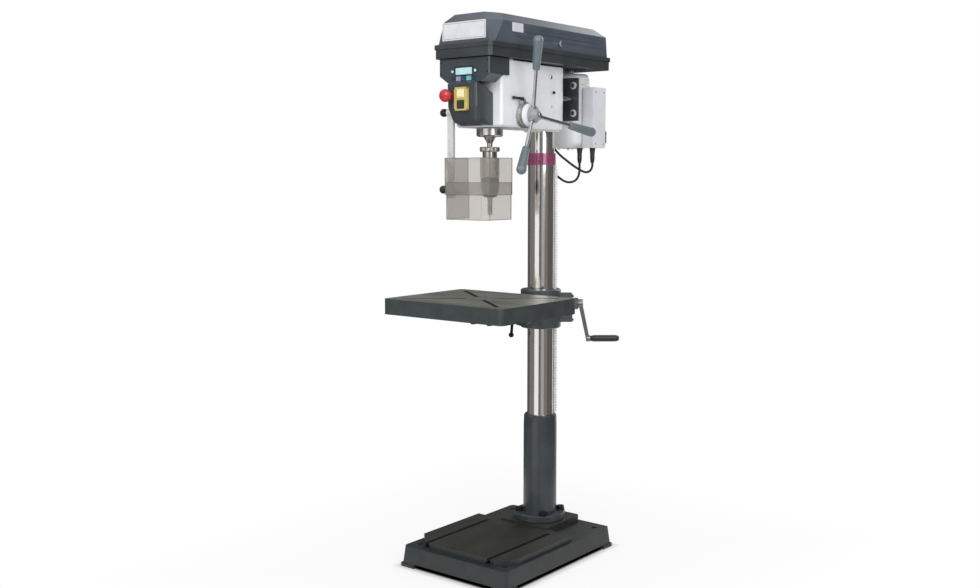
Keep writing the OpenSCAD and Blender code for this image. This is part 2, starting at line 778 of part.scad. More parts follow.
// Control panel: moulded housing with sloping shoulders and a rounded lower front
module panel_upper() {
    w = panel_w / 2;
    low = panel_low_w / 2 + 10;
    hull() {
        for (x = [-1, 1]) {
            translate([x * (w - 5), panel_front + 5, panel_up_z]) cylinder(r = 5, h = panel_up_h, $fn = 24);
            translate([x * (low - 5), panel_front + 5, panel_up_z - panel_slope_h])
                cylinder(r = 5, h = 2, $fn = 24);
            translate([x * w - (x > 0 ? 8 : 0), head_front - 8, panel_up_z]) cube([8, 8, panel_up_h]);
            translate([x * low - (x > 0 ? 8 : 0), head_front - 8, panel_up_z - panel_slope_h]) cube([8, 8, 2]);
        }
    }
}

module panel_lower() {
    w = panel_low_w / 2;
    hull() {
        for (x = [-1, 1]) {
            translate([x * (w - 8), panel_low_front + 8, panel_up_z - panel_slope_h - 8])
                cylinder(r = 8, h = 4, $fn = 24);
            translate([x * (w - 16), panel_front + 4, panel_up_z - panel_slope_h + 2]) cylinder(r = 4, h = 2, $fn = 16);
            translate([x * (w - 22), panel_low_front + 34, panel_low_z + 26]) sphere(r = 22, $fn = 24);
            translate([x * (w - 8), panel_low_front + 10, panel_low_z + 58]) sphere(r = 8, $fn = 16);
            translate([x * w - (x > 0 ? 14 : 0), head_front - 10, panel_low_z]) cube([14, 10, 100]);
        }
    }
}

module control_panel() {
    color("#45494a") difference() {
        union() {
            panel_upper();
            panel_lower();
            for (x = [-1, 1])
                translate([x > 0 ? head_w / 2 + seat : -panel_w / 2, head_front - 8, panel_up_z])
                    cube([panel_w / 2 - head_w / 2 - seat, ear_back - head_front + 8, panel_up_h]);
        }
        translate([estop_x, panel_low_front - 1, estop_z]) along_y() cylinder(d = 22.6, h = 40);
        translate([switch_x - switch_w / 2 + 3, panel_low_front - 1, switch_z - switch_h / 2 + 3])
            cube([switch_w - 6, 34, switch_h - 6]);
        translate([-display_w / 2, panel_front - 1, display_z - display_h / 2]) cube([display_w, 4, display_h]);
        for (x = [-1, 1])
            translate([x * (display_w / 2 + 12), panel_front - 1, display_z]) along_y() cylinder(d = 10, h = 4);
        for (i = [-1, 0, 1])
            translate([i * (key_w + 2) - key_w / 2 - gap, panel_front - 1, display_z - display_h / 2 - key_h - 5 - gap])
                cube([key_w + 2 * gap, 9, key_h + 2 * gap]);
        translate([pivot_x - 1, pivot_y, pivot_z]) along_x() cylinder(d = 12, h = 14);
    }
}

module display() {
    color("#8fc7d6") {
        translate([-display_w / 2, panel_front, display_z - display_h / 2]) cube([display_w, 3, display_h]);
        for (x = [-1, 1])
            translate([x * (display_w / 2 + 12), panel_front - 1, display_z]) along_y() cylinder(d = 9.4, h = 4);
    }
}

module panel_key(i) {
    color("#2e8f9c") translate([i * (key_w + 2) - key_w / 2, panel_front - 2, display_z - display_h / 2 - key_h - 5])
        difference() {
            cube([key_w, 7, key_h]);
            translate([key_w / 2, -18.2, key_h / 2]) sphere(r = 19, $fn = 48);
        }
}

module key_left() { panel_key(-1); }
module key_middle() { panel_key(0); }
module key_right() { panel_key(1); }

// Switch plate with a raised frame round its two buttons
module switch_plate() {
    w = switch_w;
    h = switch_h;
    color("#d8c86a") translate([switch_x, panel_low_front, switch_z]) difference() {
        union() {
            translate([0, 0, 0]) rotate([90, 0, 0]) rounded_plate(w, h, 8, 5);
            translate([-w / 2 + 3.5, 0, -h / 2 + 3.5]) cube([w - 7, 30, h - 7]);
        }
        for (s = [-1, 1])
            translate([-14 - gap, -9, s * 17 - 13 - gap]) cube([28 + 2 * gap, 25, 26 + 2 * gap]);
    }
}

module switch_button(s) {
    translate([switch_x, panel_low_front, switch_z + s * 17]) {
        translate([-14, -10, -13]) cube([28, 20, 26]);
        translate([0, -9.5, 0]) rotate([90, 0, 0]) rounded_plate(22, 20, 2.5, 3);
    }
}

module start_button() { color("#efe6c0") switch_button(1); }
module stop_button() { color("#4c4631") switch_button(-1); }

module estop_button() {
    r = estop_d / 2;
    color("#b5232c") translate([estop_x, panel_low_front, estop_z]) rotate([90, 0, 0]) {
        rotate_extrude()
            polygon([[0, -16], [11, -16], [11, 13], [r - 4, 18], [r, 22], [r, 29],
                [r - 3, 35], [r - 9, 39], [0, 41]]);
        translate([0, 0, -24]) cylinder(r = 6, h = 9);
    }
}

// Stepped pulley, wide end down when up is 1
module stepped_pulley(top_r, up, hub, bore) {
    n = pulley_steps;
    function step_radius(i) = top_r - (up > 0 ? i : n - 1 - i) * step_drop;
    difference() {
        rotate_extrude()
            polygon(concat([[bore, 0]],
                [for (i = [0:n - 1]) let (r = step_radius(i), z = i * step_pitch)
                    each [[r, z], [r, z + 2], [r - groove, z + 5], [r - groove, z + step_pitch - 5],
                        [r, z + step_pitch - 2], [r, z + step_pitch]]],
                [[hub, n * step_pitch], [hub, n * step_pitch + 6], [bore, n * step_pitch + 6]]));
    }
}

module spindle_pulley() {
    color("#a8abad") translate([0, spindle_y, pulley_z]) stepped_pulley(step_r, 1, 19, spindle_d / 2 - 1 + fit);
    color("#a8abad") translate([0, spindle_y, head_top - 26]) difference() {
        cylinder(r = drive_r, h = pulley_z - head_top + 26 + eps);
        translate([0, 0, -1]) cylinder(r = spindle_d / 2 - 1 + fit, h = 100);
    }
}

module idler_pulley() {
    color("#a8abad") translate([0, -idler_y, pulley_z]) stepped_pulley(idler_r, -1, 15, idler_pin_r + fit);
}

// Idler arm: turns on a pivot in the head and carries the idler pulley's pin
module idler_arm() {
    z = tray_z + shell + 2;
    color("#6d7175") {
        translate([-arm_l, -idler_y, head_top - 12]) cylinder(r = 14, h = z - head_top + 12 + eps);
        translate([0, -idler_y, z]) linear_extrude(8) {
            circle(14);
            translate([-arm_l, 0]) circle(14);
            translate([-arm_l, -14]) square([arm_l, 28]);
        }
        translate([0, -idler_y, z]) cylinder(r = 12, h = pulley_z - z - 1);
        translate([0, -idler_y, z]) cylinder(r = idler_pin_r, h = pulley_z - z + pulley_steps * step_pitch + 10);
    }
}

module motor_pulley() {
    color("#a8abad") translate([0, motor_y, pulley_z]) stepped_pulley(step_r - 4, 1, 17, rotor_r - 1);
    color("#8c8f92") translate([0, motor_y, motor_z + motor_h - 40])
        cylinder(r = rotor_r, h = pulley_z + pulley_steps * step_pitch + 4 - motor_z - motor_h + 40);
}

// Open loop of belt round two pulleys
module belt_loop(y0, r0, y1, r1, z) {
    module outline(g, h) {
        hull() {
            translate([0, y0, z - h / 2]) cylinder(r = r0 + g, h = h, $fn = 48);
            translate([0, y1, z - h / 2]) cylinder(r = r1 + g, h = h, $fn = 48);
        }
    }
    difference() {
        outline(belt_t, belt_h);
        outline(0, belt_h + 2);
    }
}

module front_belt() {
    color("#1e1f20") belt_loop(spindle_y, step_r - 2 * step_drop - groove + seat,
        -idler_y, idler_r - step_drop - groove + seat, belt_high);
}

module rear_belt() {
    color("#1e1f20") belt_loop(-idler_y, idler_r - 2 * step_drop - groove + seat,
        motor_y, step_r - 4 - step_drop - groove + seat, belt_low);
}

// Motor: finned body with domed ends, standing behind the column
module motor_body() {
    r = motor_d / 2;
    color("#c9cccf") difference() {
        union() {
            translate([0, motor_y, motor_z]) rotate_extrude()
                polygon(concat([[0, 0], [r - 26, 0]],
                    [for (a = [-90:15:0]) [r - 22 + 22 * cos(a) , 22 + 22 * sin(a)]],
                    [[r, motor_h - 42], [r - 3, motor_h - 38], [r - 3, motor_h - 22]],
                    [for (a = [0:15:90]) [r - 21 + 18 * cos(a), motor_h - 18 + 18 * sin(a)]],
                    [[0, motor_h]]));
            for (a = [-1:1])
                translate([a * 26 - 4, motor_y - r + seat, plate_z + 8]) cube([8, 22, motor_plate_h - 16]);
            for (a = [20:20:160])
                translate([0, motor_y, motor_z + 50]) rotate([0, 0, a])
                    translate([r - 6, -2, 0]) cube([9, 4, motor_h - 110]);
            for (a = [45, 135, 225, 315])
                translate([0, motor_y, motor_z - 5]) rotate([0, 0, a]) translate([r - 28, 0, 0]) cylinder(d = 9, h = 8);
        }
        translate([0, motor_y, motor_z + motor_h - 45]) cylinder(r = rotor_r + fit, h = 60);
        translate([box_x, box_y - seat, box_z - 1]) cube([box_w, box_d + 2 * seat, box_h + 2]);
    }
}

module motor_plate() {
    w = motor_plate_w;
    color("#2c3033") difference() {
        union() {
            translate([-w / 2, plate_y, plate_z]) cube([w, motor_plate_t, motor_plate_h]);
            for (x = [-1, 1]) for (z = [26, motor_plate_h - 26])
                translate([x * (w / 2 - 16), plate_y, plate_z + z]) rotate([90, 0, 0]) {
                    cylinder(d = 20, h = 1.6);
                    translate([0, 0, 1.6]) cylinder(d = 17, h = 6, $fn = 6);
                }
        }
        for (x = [-1, 1])
            translate([x * slide_bar_gap / 2, plate_y - 1, bar_z]) along_y() cylinder(d = slide_bar_d + 2 * fit, h = 30);
        translate([-26, plate_y - 1, plate_z + 20]) cube([52, motor_plate_t - 2, motor_plate_h - 40]);
    }
}

module motor_slide_bars() {
    color("#b4b6b8") for (x = [-1, 1])
        translate([x * slide_bar_gap / 2, -40, bar_z]) along_y() cylinder(d = slide_bar_d, h = plate_y + motor_plate_t + 40);
}

// Terminal box with a stepped lid and a black elbow for the mains lead
module terminal_box() {
    color("#dcdde0") {
        translate([box_x, box_y, box_z]) difference() {
            cube([box_w - 7, box_d, box_h]);
            translate([-1, -1, -1]) cube([4, 4, box_h + 2]);
        }
        translate([box_x + box_w - 8, box_y - 2, box_z]) cube([8, box_d + 4, box_h + 2]);
        for (z = [14, box_h - 14]) for (y = [12, box_d - 12])
            translate([box_x + box_w, box_y + y, box_z + z]) along_x() cylinder(d = 7, h = 1.6);
    }
}

module gland(length) {
    cylinder(d = 2 * gland_r + 4, h = 9, $fn = 6);
    translate([0, 0, -8]) cylinder(r = gland_r, h = 8);
    translate([0, 0, -length + 14]) cylinder(r = gland_r - 1, h = length - 22);
    translate([0, 0, -length]) cylinder(r1 = cable_r + 2, r2 = gland_r - 1, h = 14);
}

module cable_glands() {
    color("#1c1e20") {
        translate([route_upper[0][0], route_upper[0][1], box_z - 9]) gland(gland_l - 9);
        translate([route_lower[0][0], route_lower[0][1], motor_z - 9]) gland(gland_l - 9);
        translate([box_x + box_w - 20, box_y + box_d, box_z + 52]) {
            along_y() cylinder(d = 20, h = 20);
            translate([0, 20, 0]) sphere(d = 24);
            translate([0, 20, -32]) cylinder(d = 22, h = 32);
            translate([0, 20, -36]) cylinder(d = 17, h = 6);
        }
    }
}

module cable_upper() { color("#1a1b1c") swept_tube(route_upper, cable_r, 8); }
module cable_lower() { color("#1a1b1c") swept_tube(route_lower, cable_r, 8); }

// Quill: a sleeve with teeth cut in its rear and a knurled collar at its end
module quill() {
    root = feed_rack_r - tooth_ded * feed_module - 0.3;
    tip = feed_rack_r + tooth_add * feed_module;
    q = feed_step / 4 - 0.15;
    lean = tan(20) * feed_module;
    color("#a9a9a8") translate([0, spindle_y, 0]) difference() {
        union() {
            translate([0, 0, quill_z]) cylinder(r = quill_r, h = quill_top - quill_z);
            translate([0, 0, quill_z]) rotate_extrude()
                polygon([[quill_r - 4, 0], [quill_collar_d / 2 - 4, 0], [quill_collar_d / 2, 4],
                    [quill_collar_d / 2, quill_collar_h - 4 - gap], [quill_collar_d / 2 - 3, quill_collar_h - gap],
                    [quill_r - 4, quill_collar_h - gap]]);
        }
        translate([0, 0, quill_z - 1]) cylinder(r = bearing_r + fit, h = 40);
        translate([0, 0, quill_z]) cylinder(r = spindle_d / 2 + 3, h = 400);
        translate([0, 0, quill_top - 38]) cylinder(r = bearing_r + fit, h = 60);
        rotate([90, 0, 90]) linear_extrude(feed_gear_w + 2, center = true)
            polygon(concat([[quill_r + 2, feed_rack_low - feed_step / 2], [tip, feed_rack_low - feed_step / 2]],
                [for (i = [0:feed_rack_n - 1]) let (z = feed_rack_low + i * feed_step)
                    each [[tip, z - feed_step / 2 + q - lean * tooth_add],
                        [root, z - feed_step / 2 + q + lean * tooth_ded],
                        [root, z + feed_step / 2 - q - lean * tooth_ded],
                        [tip, z + feed_step / 2 - q + lean * tooth_add]]],
                [[tip, feed_rack_low + (feed_rack_n - 0.5) * feed_step],
                    [quill_r + 2, feed_rack_low + (feed_rack_n - 0.5) * feed_step]]));
    }
}

// Spindle with its taper, neck and the splined end that slides in the pulley
module spindle() {
    r = spindle_d / 2;
    color("#bcbcbb") translate([0, spindle_y, 0]) rotate_extrude()
        polygon([[0, chuck_top - 18], [8, chuck_top - 18], [9, chuck_top + 12], [19.5, quill_z - 1],
            [19.5, quill_z + 3], [r, quill_z + 3], [r, quill_top + 3], [r - 1, quill_top + 4],
            [r - 1, lid_top - 15], [0, lid_top - 15]]);
}

module spindle_bearings() {
    color("#8f9294") for (z = [quill_z + 6, quill_top - 32])
        translate([0, spindle_y, z]) rotate_extrude()
            polygon([[spindle_d / 2 + fit, 0], [bearing_r, 0], [bearing_r, 20], [spindle_d / 2 + fit, 20]]);
}

// Keyless chuck: flanged body, knurled sleeve and three jaws
module chuck_body() {
    color("#9c9c9b") translate([0, spindle_y, 0]) difference() {
        rotate_extrude()
            polygon([[8.1, chuck_top - 18], [9.3, chuck_top], [chuck_r, chuck_top], [chuck_r + 2, chuck_top - 2],
                [chuck_r + 2, chuck_top - 13], [chuck_r, chuck_top - 15], [23.5, chuck_top - 16],
                [23.5, chuck_top - 34], [chuck_r, chuck_top - 36], [chuck_r, chuck_split + gap],
                [core_r, chuck_split + gap], [core_r, chuck_low + 24], [0, chuck_low + 24], [0, chuck_top - 18.2]]);
        translate([0, 0, chuck_low]) cylinder(r = bit_r + 0.3, h = 46);
        for (k = [0:2]) rotate([0, 0, 120 * k]) jaw_bore(jaw_r + gap);
    }
}

module jaw_line() {
    translate([bit_r + jaw_r - 0.2, 0, chuck_low]) rotate([0, jaw_lean, 0]) children();
}

module jaw_bore(r) {
    jaw_line() translate([0, 0, -12]) cylinder(r = r, h = 72);
}

module chuck_sleeve() {
    r = chuck_r - 1;
    color("#3b3d3e") translate([0, spindle_y, 0]) difference() {
        rotate_extrude()
            polygon([[core_r + gap, chuck_split], [r - 2, chuck_split], [r, chuck_split - 2], [r, chuck_low + 26],
                [r - 3, chuck_low + 18], [21.5, chuck_low + 2], [19.5, chuck_low], [17, chuck_low],
                [20, chuck_low + 22], [23, chuck_low + 26], [23, chuck_split - 5], [core_r + gap, chuck_split - 5]]);
        for (a = [0:15:345])
            rotate([0, 0, a]) translate([r + 1, 0, chuck_low + 28]) cylinder(r = 2.2, h = 30, $fn = 16);
    }
}

// A jaw: a pin along its slanted line, cut square to the bit
module jaw(k) {
    color("#7d7f80") translate([0, spindle_y, 0]) rotate([0, 0, 120 * k]) difference() {
        jaw_line() translate([0, 0, -4]) cylinder(r = jaw_r, h = 54);
        translate([0, 0, chuck_low - 20]) cylinder(r = bit_r + 0.1, h = 50);
        translate([-30, -30, chuck_low - 20]) cube([60, 60, 18]);
    }
}

module jaw_1() { jaw(0); }
module jaw_2() { jaw(1); }
module jaw_3() { jaw(2); }

// Drill bit with two straight-cut flutes, turned in steps up its length
module drill_bit() {
    flute_low = bit_low + 8;
    flute_n = 20;
    flute_len = chuck_low - 6 - flute_low;
    color("#8d8b86") translate([0, spindle_y, 0]) {
        translate([0, 0, chuck_low - 8]) cylinder(r = bit_r - 0.1, h = bit_top - chuck_low + 8);
        translate([0, 0, flute_low]) linear_extrude(flute_len, twist = -300, slices = flute_n)
            difference() {
                circle(bit_r - 0.4, $fn = 24);
                for (s = [-1, 1]) translate([s * bit_r * 0.92, 0]) circle(bit_r * 0.55, $fn = 16);
            }
        translate([0, 0, bit_low]) cylinder(r1 = 0.4, r2 = bit_r * 0.3, h = 12);
    }
}

// Feed shaft with its pinion, hub, spokes and grips
module feed_shaft() {
    color("#9fa1a3") translate([0, feed_y, feed_z]) {
        translate([-head_w / 2 - 4, 0, 0]) along_x() cylinder(d = feed_shaft_d, h = head_w / 2 - 6);
        translate([10 - eps, 0, 0]) along_x() cylinder(d = feed_shaft_d, h = hub_x - hub_w / 2 - gap);
        rotate([90, 0, 90]) rotate([0, 0, 180 + feed_phase - 180 / feed_teeth]) gear(feed_teeth, feed_module, feed_gear_w + 2 * eps);
    }
}

module feed_hub() {
    r = hub_d / 2;
    color("#c7c9cb") translate([hub_x, feed_y, feed_z]) difference() {
        rotate([0, 90, 0]) rotate_extrude()
            polygon([[0, hub_w / 2 + 4], [0, -hub_w / 2 + 10], [feed_shaft_d / 2 + fit, -hub_w / 2 + 10],
                [feed_shaft_d / 2 + fit, -hub_w / 2], [r + 8, -hub_w / 2], [r + 10, -hub_w / 2 + 2],
                [r + 10, -hub_w / 2 + 7], [r + 8, -hub_w / 2 + 9], [r + 2, -hub_w / 2 + 9.5],
                [r, -hub_w / 2 + 12], [r, hub_w / 2 - 8], [r - 8, hub_w / 2], [r - 14, hub_w / 2 + 4]]);
        for (k = [0:2]) spoke_line(k) translate([0, 0, 12]) cylinder(d = 12 + 2 * fit, h = 60);
    }
}

// Places a child on the axis of spoke k, pointing outwards
module spoke_line(k) {
    rotate([spoke_turn - 90 - 120 * k, 0, 0]) rotate([0, spoke_lean, 0]) children();
}

module feed_spokes() {
    color("#b9bcbf") translate([hub_x, feed_y, feed_z]) for (k = [0:2])
        spoke_line(k) translate([0, 0, 12]) cylinder(d = 12, h = grip_start + grip_l - 24);
}

module feed_grips() {
    color("#7b8a8a") translate([hub_x, feed_y, feed_z]) for (k = [0:2])
        spoke_line(k) translate([0, 0, grip_start]) rotate_extrude()
            polygon(concat([[6 + fit, 0], [10, 0], [11.5, 2], [13, 30], [15.5, grip_l - 22]],
                [for (a = [0:15:90]) [2 + 14 * cos(a), grip_l - 14 + 14 * sin(a)]],
                [[0, grip_l], [0, grip_l - 11], [6 + fit, grip_l - 11]]));
}

// Depth scale ring: turns on the feed shaft, held by its clamp
module depth_dial() {
    x0 = head_w / 2 + 4 + gap;
    color("#c4c6c8") translate([0, feed_y, feed_z]) difference() {
        union() {
            translate([x0, 0, 0]) along_x() cylinder(d = dial_d - 2, h = 3);
            translate([x0 + 3, 0, 0]) along_x() cylinder(d = dial_d, h = dial_w - 6);
            translate([x0 + dial_w - 3, 0, 0]) along_x() cylinder(d = dial_d - 8, h = 3);
            rotate([18, 0, 0]) translate([x0 + dial_w / 2 - 7, -8, dial_d / 2 - 3]) cube([14, 16, 12]);
        }
        translate([x0 - 1, 0, 0]) along_x() cylinder(d = feed_shaft_d + 2 * fit, h = 60);
        rotate([18, 0, 0]) translate([x0 + dial_w / 2, 0, dial_d / 2 - 6]) cylinder(d = 6.2, h = 40);
    }
}

module dial_clamp() {
    x0 = head_w / 2 + 4 + gap;
    color("#1d1f20") translate([0, feed_y, feed_z]) rotate([18, 0, 0]) translate([x0 + dial_w / 2, 0, dial_d / 2 + 9]) {
        translate([0, 0, -12]) cylinder(d = 6, h = 13);
        translate([0, 0, seat]) cylinder(d = 13, h = 8);
        rod([0, 0, 5], [-6, -34, 17], 4);
        translate([-6, -34, 17]) sphere(r = 5.5);
    }
}

module spring_housing() {
    color("#b9bcc0") translate([-head_w / 2, feed_y, feed_z]) rotate([0, -90, 0]) difference() {
        rotate_extrude()
            polygon([[0, 22], [0, 26], [8, 26], [28, 22], [32, 18], [33, 0], [29, 0], [28, 16], [25, 22 - eps]]);
        translate([0, 0, 44.5]) cube([3, 24, 40], center = true);
    }
}

// Guard: a pivot on the panel's left, a bar and two nested folded shields
module guard_pivot() {
    color("#1f2224") translate([pivot_x, pivot_y, pivot_z]) rotate([0, -90, 0]) {
        translate([0, 0, -12]) cylinder(d = 11, h = 12 + seat);
        cylinder(d = 9.9, h = pivot_x - bar_x0 + 6);
        translate([0, 0, pivot_x - bar_x0 + gap]) rotate_extrude()
            polygon([[0, 0], [8, 0], [8, 8], [12, 11], [12, 23], [10, 26], [0, 26]]);
    }
}

module guard_bar() {
    color("#c3c5c6") difference() {
        union() {
            translate([bar_x0, pivot_y - bar_t / 2, bar_low]) cube([bar_w, bar_t, pivot_z - bar_low]);
            translate([bar_x0, pivot_y, pivot_z]) along_x() cylinder(d = 24, h = bar_w);
        }
        translate([bar_x0 - 1, pivot_y, pivot_z]) along_x() cylinder(d = 10, h = bar_w + 2);
        translate([bar_x0 - 1, pivot_y - 3.4, shield_knob_z - 14]) cube([12, 6.8, 80]);
    }
}

// Plan of a folded shield, open at the back
module shield_plan(half, front, t) {
    f = guard_fold;
    polygon([[-half, spindle_y], [-half, front + f], [-half + f, front], [half - f, front], [half, front + f],
        [half, spindle_y], [half - t, spindle_y], [half - t, front + f + t * 0.4], [half - f - t * 0.4, front + t],
        [-half + f + t * 0.4, front + t], [-half + t, front + f + t * 0.4], [-half + t, spindle_y]]);
}

module shield_upper() {
    color("#8a8580") difference() {
        translate([0, 0, guard_up_z]) linear_extrude(guard_up_h) shield_plan(guard_x, guard_y, guard_t);
        translate([-guard_x - 1, pivot_y - 3.4, shield_knob_z - 14]) cube([guard_t + 2, 6.8, 80]);
    }
    color("#8a8580") for (z = [shield_knob_z + 78, guard_up_z + guard_up_h - 7])
        translate([-guard_x - 2, pivot_y, z])
            along_x() cylinder(d = 9, h = 2 + eps, $fn = 24);
}

module shield_lower() {
    g = guard_t + shield_gap;
    color("#7d7873") difference() {
        translate([0, 0, guard_low_z]) linear_extrude(guard_low_h) shield_plan(guard_x - g, guard_y + g, guard_t);
        translate([-guard_x, pivot_y, shield_knob_z]) along_x() cylinder(d = 6.1, h = 10);
    }
}

module shield_knob() {
    color("#1d1f20") translate([-guard_x, pivot_y, shield_knob_z]) rotate([0, -90, 0]) {
        translate([0, 0, -14]) cylinder(d = 6, h = 15);
        translate([0, 0, shield_gap]) rotate_extrude()
            polygon([[0, 0], [9, 0], [9, 5], [12, 9], [12, 20], [10, 23], [0, 23]]);
    }
}

// Table bracket: split collar with gear housing, tilt flange and clamp lugs
module table_bracket() {
    r = bracket_d / 2;
    color("#4a4f53") difference() {
        union() {
            translate([0, 0, bracket_low]) rotate_extrude()
                polygon([[20, 0], [r - 3, 0], [r, 3], [r, bracket_h - 3], [r - 3, bracket_h], [20, bracket_h]]);
            at_rack() translate([30, -housing_w / 2, housing_low]) cube([housing_r - 30, housing_w, housing_top - housing_low]);
            at_rack() translate([housing_r - 1, 0, crank_z]) along_x() cylinder(d = 40, h = crank_hub_r - housing_r + 1);
            translate([0, -40, tilt_z]) rotate([90, 0, 0]) cylinder(r = tilt_r - 8, h = -tilt_y - 50);
            translate([0, tilt_y + 14, tilt_z]) rotate([90, 0, 0]) cylinder(r = tilt_r, h = 14);
            translate([lug_x - 14, -lug_gap / 2 - lug_t, lug_z - 20]) cube([44, lug_gap + 2 * lug_t, 40]);
        }
        translate([0, 0, bracket_low - 1]) cylinder(r = column_r + fit, h = bracket_h + 2);
        at_rack() translate([0, -rack_w / 2 - gap, bracket_low - 1])
            cube([rack_tip + 1, rack_w + 2 * gap, bracket_h + 2]);
        at_rack() translate([lift_x, 0, lift_z]) rotate([90, 0, 0])
            cylinder(r = lift_r + 4, h = rack_w + 2 * gap, center = true);
        at_rack() translate([lift_x, 0, lift_z]) rotate([90, 0, 0])
            cylinder(r = 7 + fit, h = housing_w + 2, center = true);
        at_rack() translate([rack_tip, 0, crank_z]) along_x() cylinder(d = crank_shaft_d + 2 * fit, h = 120);
        at_rack() translate([rack_tip + 2, -rack_w / 2 - gap, lift_z]) cube([30, rack_w + 2 * gap, crank_z - lift_z]);
        translate([0, tilt_y - 1, tilt_z]) along_y() cylinder(d = tilt_bolt_d + 2 * fit, h = 40);
        translate([lug_x - 15, -lug_gap / 2, bracket_low - 1]) cube([60, lug_gap, bracket_h + 2]);
        translate([lug_x, -60, lug_z]) along_y() cylinder(d = 12 + 2 * fit, h = 120);
    }
}

// Table: plate, skirt, diagonal slots, arm and tilt flange in one casting
module diagonal_slots(w, z0, h) {
    for (s = [1, -1]) for (m = [0, 180])
        translate([0, -table_reach, z0]) rotate([0, 0, s * atan(table_d / table_w) + m])
            translate([slot_start, -w / 2, 0]) cube([slot_end - slot_start, w, h]);
}

module table() {
    low = table_z - table_edge;
    color("#62665f") difference() {
        union() {
            difference() {
                translate([0, -table_reach, low]) rounded_plate(table_w, table_d, table_edge, corner_r);
                translate([0, -table_reach, low - 1])
                    rounded_plate(table_w - 2 * table_wall, table_d - 2 * table_wall, table_edge - table_plate + 1, 6);
                translate([0, table_y1 - table_wall - 2, tilt_z]) along_y() cylinder(r = tilt_r - 12, h = 30);
            }
            intersection() {
                diagonal_slots(slot_t_w + 16, table_z - table_plate - 12, 13);
                translate([0, -table_reach, low]) rounded_plate(table_w - 12, table_d - 12, table_edge, 6);
            }
            for (x = [-1, 1])
                translate([x * 34 - 6, -table_reach, tilt_z - 26])
                    cube([12, table_reach + tilt_y - gap, table_z - table_plate - tilt_z + 27]);
            translate([-34, -table_reach - 6, tilt_z - 20]) cube([68, 12, table_z - table_plate - tilt_z + 21]);
            translate([0, tilt_y - gap, tilt_z]) rotate([90, 0, 0]) cylinder(r = tilt_r, h = 15);
            for (x = [-1, 1])
                translate([x * (table_w / 4), -table_reach, table_z - table_plate - 12])
                    cube([10, table_d - 14, 26], center = true);
        }
        diagonal_slots(slot_w, table_z - table_plate - 14, table_plate + 16);
        diagonal_slots(slot_t_w, table_z - table_plate - 14, table_plate + 14 - slot_mouth);
        translate([0, tilt_y - 30, tilt_z]) along_y() cylinder(d = tilt_bolt_d + 2 * fit, h = 40);
    }
}

module tilt_bolt() {
    color("#8f9396") {
        translate([0, tilt_y - gap - 15 - seat - 4, tilt_z]) along_y() cylinder(d = 40, h = 4);
        translate([0, tilt_y - gap - 15 - seat - 16, tilt_z]) along_y() cylinder(d = 34, h = 12 + eps, $fn = 6);
        translate([0, tilt_y - gap - 20, tilt_z]) along_y() cylinder(d = tilt_bolt_d, h = 56);
    }
}

module clamp_lever() {
    y0 = -lug_gap / 2 - lug_t;
    color("#2a2d2f") {
        translate([lug_x, y0 - 2, lug_z]) along_y() cylinder(d = 12, h = lug_gap + 2 * lug_t + 12);
        translate([lug_x, y0 - 40, lug_z]) along_y() cylinder(d1 = 18, d2 = 22, h = 40 - seat);
        rod([lug_x, y0 - 30, lug_z - 6], [lug_x, y0 - 37, lug_z - 66], 5);
        translate([lug_x, y0 - 38, lug_z - 70]) sphere(r = 9);
    }
}

// Lift pinion: meshes with the rack inside the bracket
module lift_pinion() {
    color("#86898b") at_rack() translate([lift_x, 0, lift_z]) {
        rotate([90, 0, 0]) rotate([0, 0, 180 + lift_phase]) gear(lift_teeth, rack_module, lift_gear_w);
        rotate([90, 0, 0]) cylinder(r = 7, h = housing_w - 4, center = true);
    }
}

// Crank: shaft, hub and an arm that leans out to its grip
module crank() {
    color("#7d8185") at_rack() translate([0, 0, crank_z]) {
        translate([rack_tip + 3, 0, 0]) along_x() cylinder(d = crank_shaft_d, h = crank_arm_r + crank_arm_t - rack_tip - 3);
        translate([crank_arm_r, 0, 0]) along_x() cylinder(d = 30, h = crank_arm_t);
        hull() {
            translate([crank_arm_r + 4, 0, -4]) along_x() cylinder(d = 20, h = 10, $fn = 32);
            translate([crank_arm_r + crank_lean + 2, 0, -crank_tip_drop]) along_x() cylinder(d = 18, h = 9, $fn = 32);
        }
        translate([crank_arm_r + crank_lean + 2, 0, -crank_tip_drop]) along_x() cylinder(d = 22, h = 13);
        translate([crank_arm_r + crank_lean + 10, 0, -crank_tip_drop]) along_x()
            cylinder(d = 10, h = grip_r0 + crank_grip_l - crank_arm_r - crank_lean - 18);
    }
}

module crank_grip() {
    r = crank_grip_d / 2;
    color("#1c1e1f") at_rack() translate([grip_r0, 0, crank_z - crank_tip_drop]) along_x() rotate_extrude()
        polygon([[5 + fit, 0], [r - 4, 0], [r - 2, 2], [r, 14], [r, crank_grip_l - 12], [r - 2, crank_grip_l - 3],
            [r - 6, crank_grip_l], [0, crank_grip_l], [0, crank_grip_l - 7], [5 + fit, crank_grip_l - 7]]);
}

base_plate();
column_foot();
foot_bolts();
column();
rack();
rack_collar();
head_casting();
belt_tray();
belt_lid();
lid_knob();
control_panel();
display();
key_left();
key_middle();
key_right();
switch_plate();
start_button();
stop_button();
estop_button();
spindle_pulley();
idler_pulley();
idler_arm();
motor_pulley();
front_belt();
rear_belt();
motor_body();
motor_plate();
motor_slide_bars();
terminal_box();
cable_glands();
cable_upper();
cable_lower();
quill();
spindle();
spindle_bearings();
chuck_body();
chuck_sleeve();
jaw_1();
jaw_2();
jaw_3();
drill_bit();
feed_shaft();
feed_hub();
feed_spokes();
feed_grips();
depth_dial();
dial_clamp();
spring_housing();
guard_pivot();
guard_bar();
shield_upper();
shield_lower();
shield_knob();
table_bracket();
table();
tilt_bolt();
clamp_lever();
lift_pinion();
crank();
crank_grip();
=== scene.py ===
"""A floor-standing bench drill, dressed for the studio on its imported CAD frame."""
import json
import math

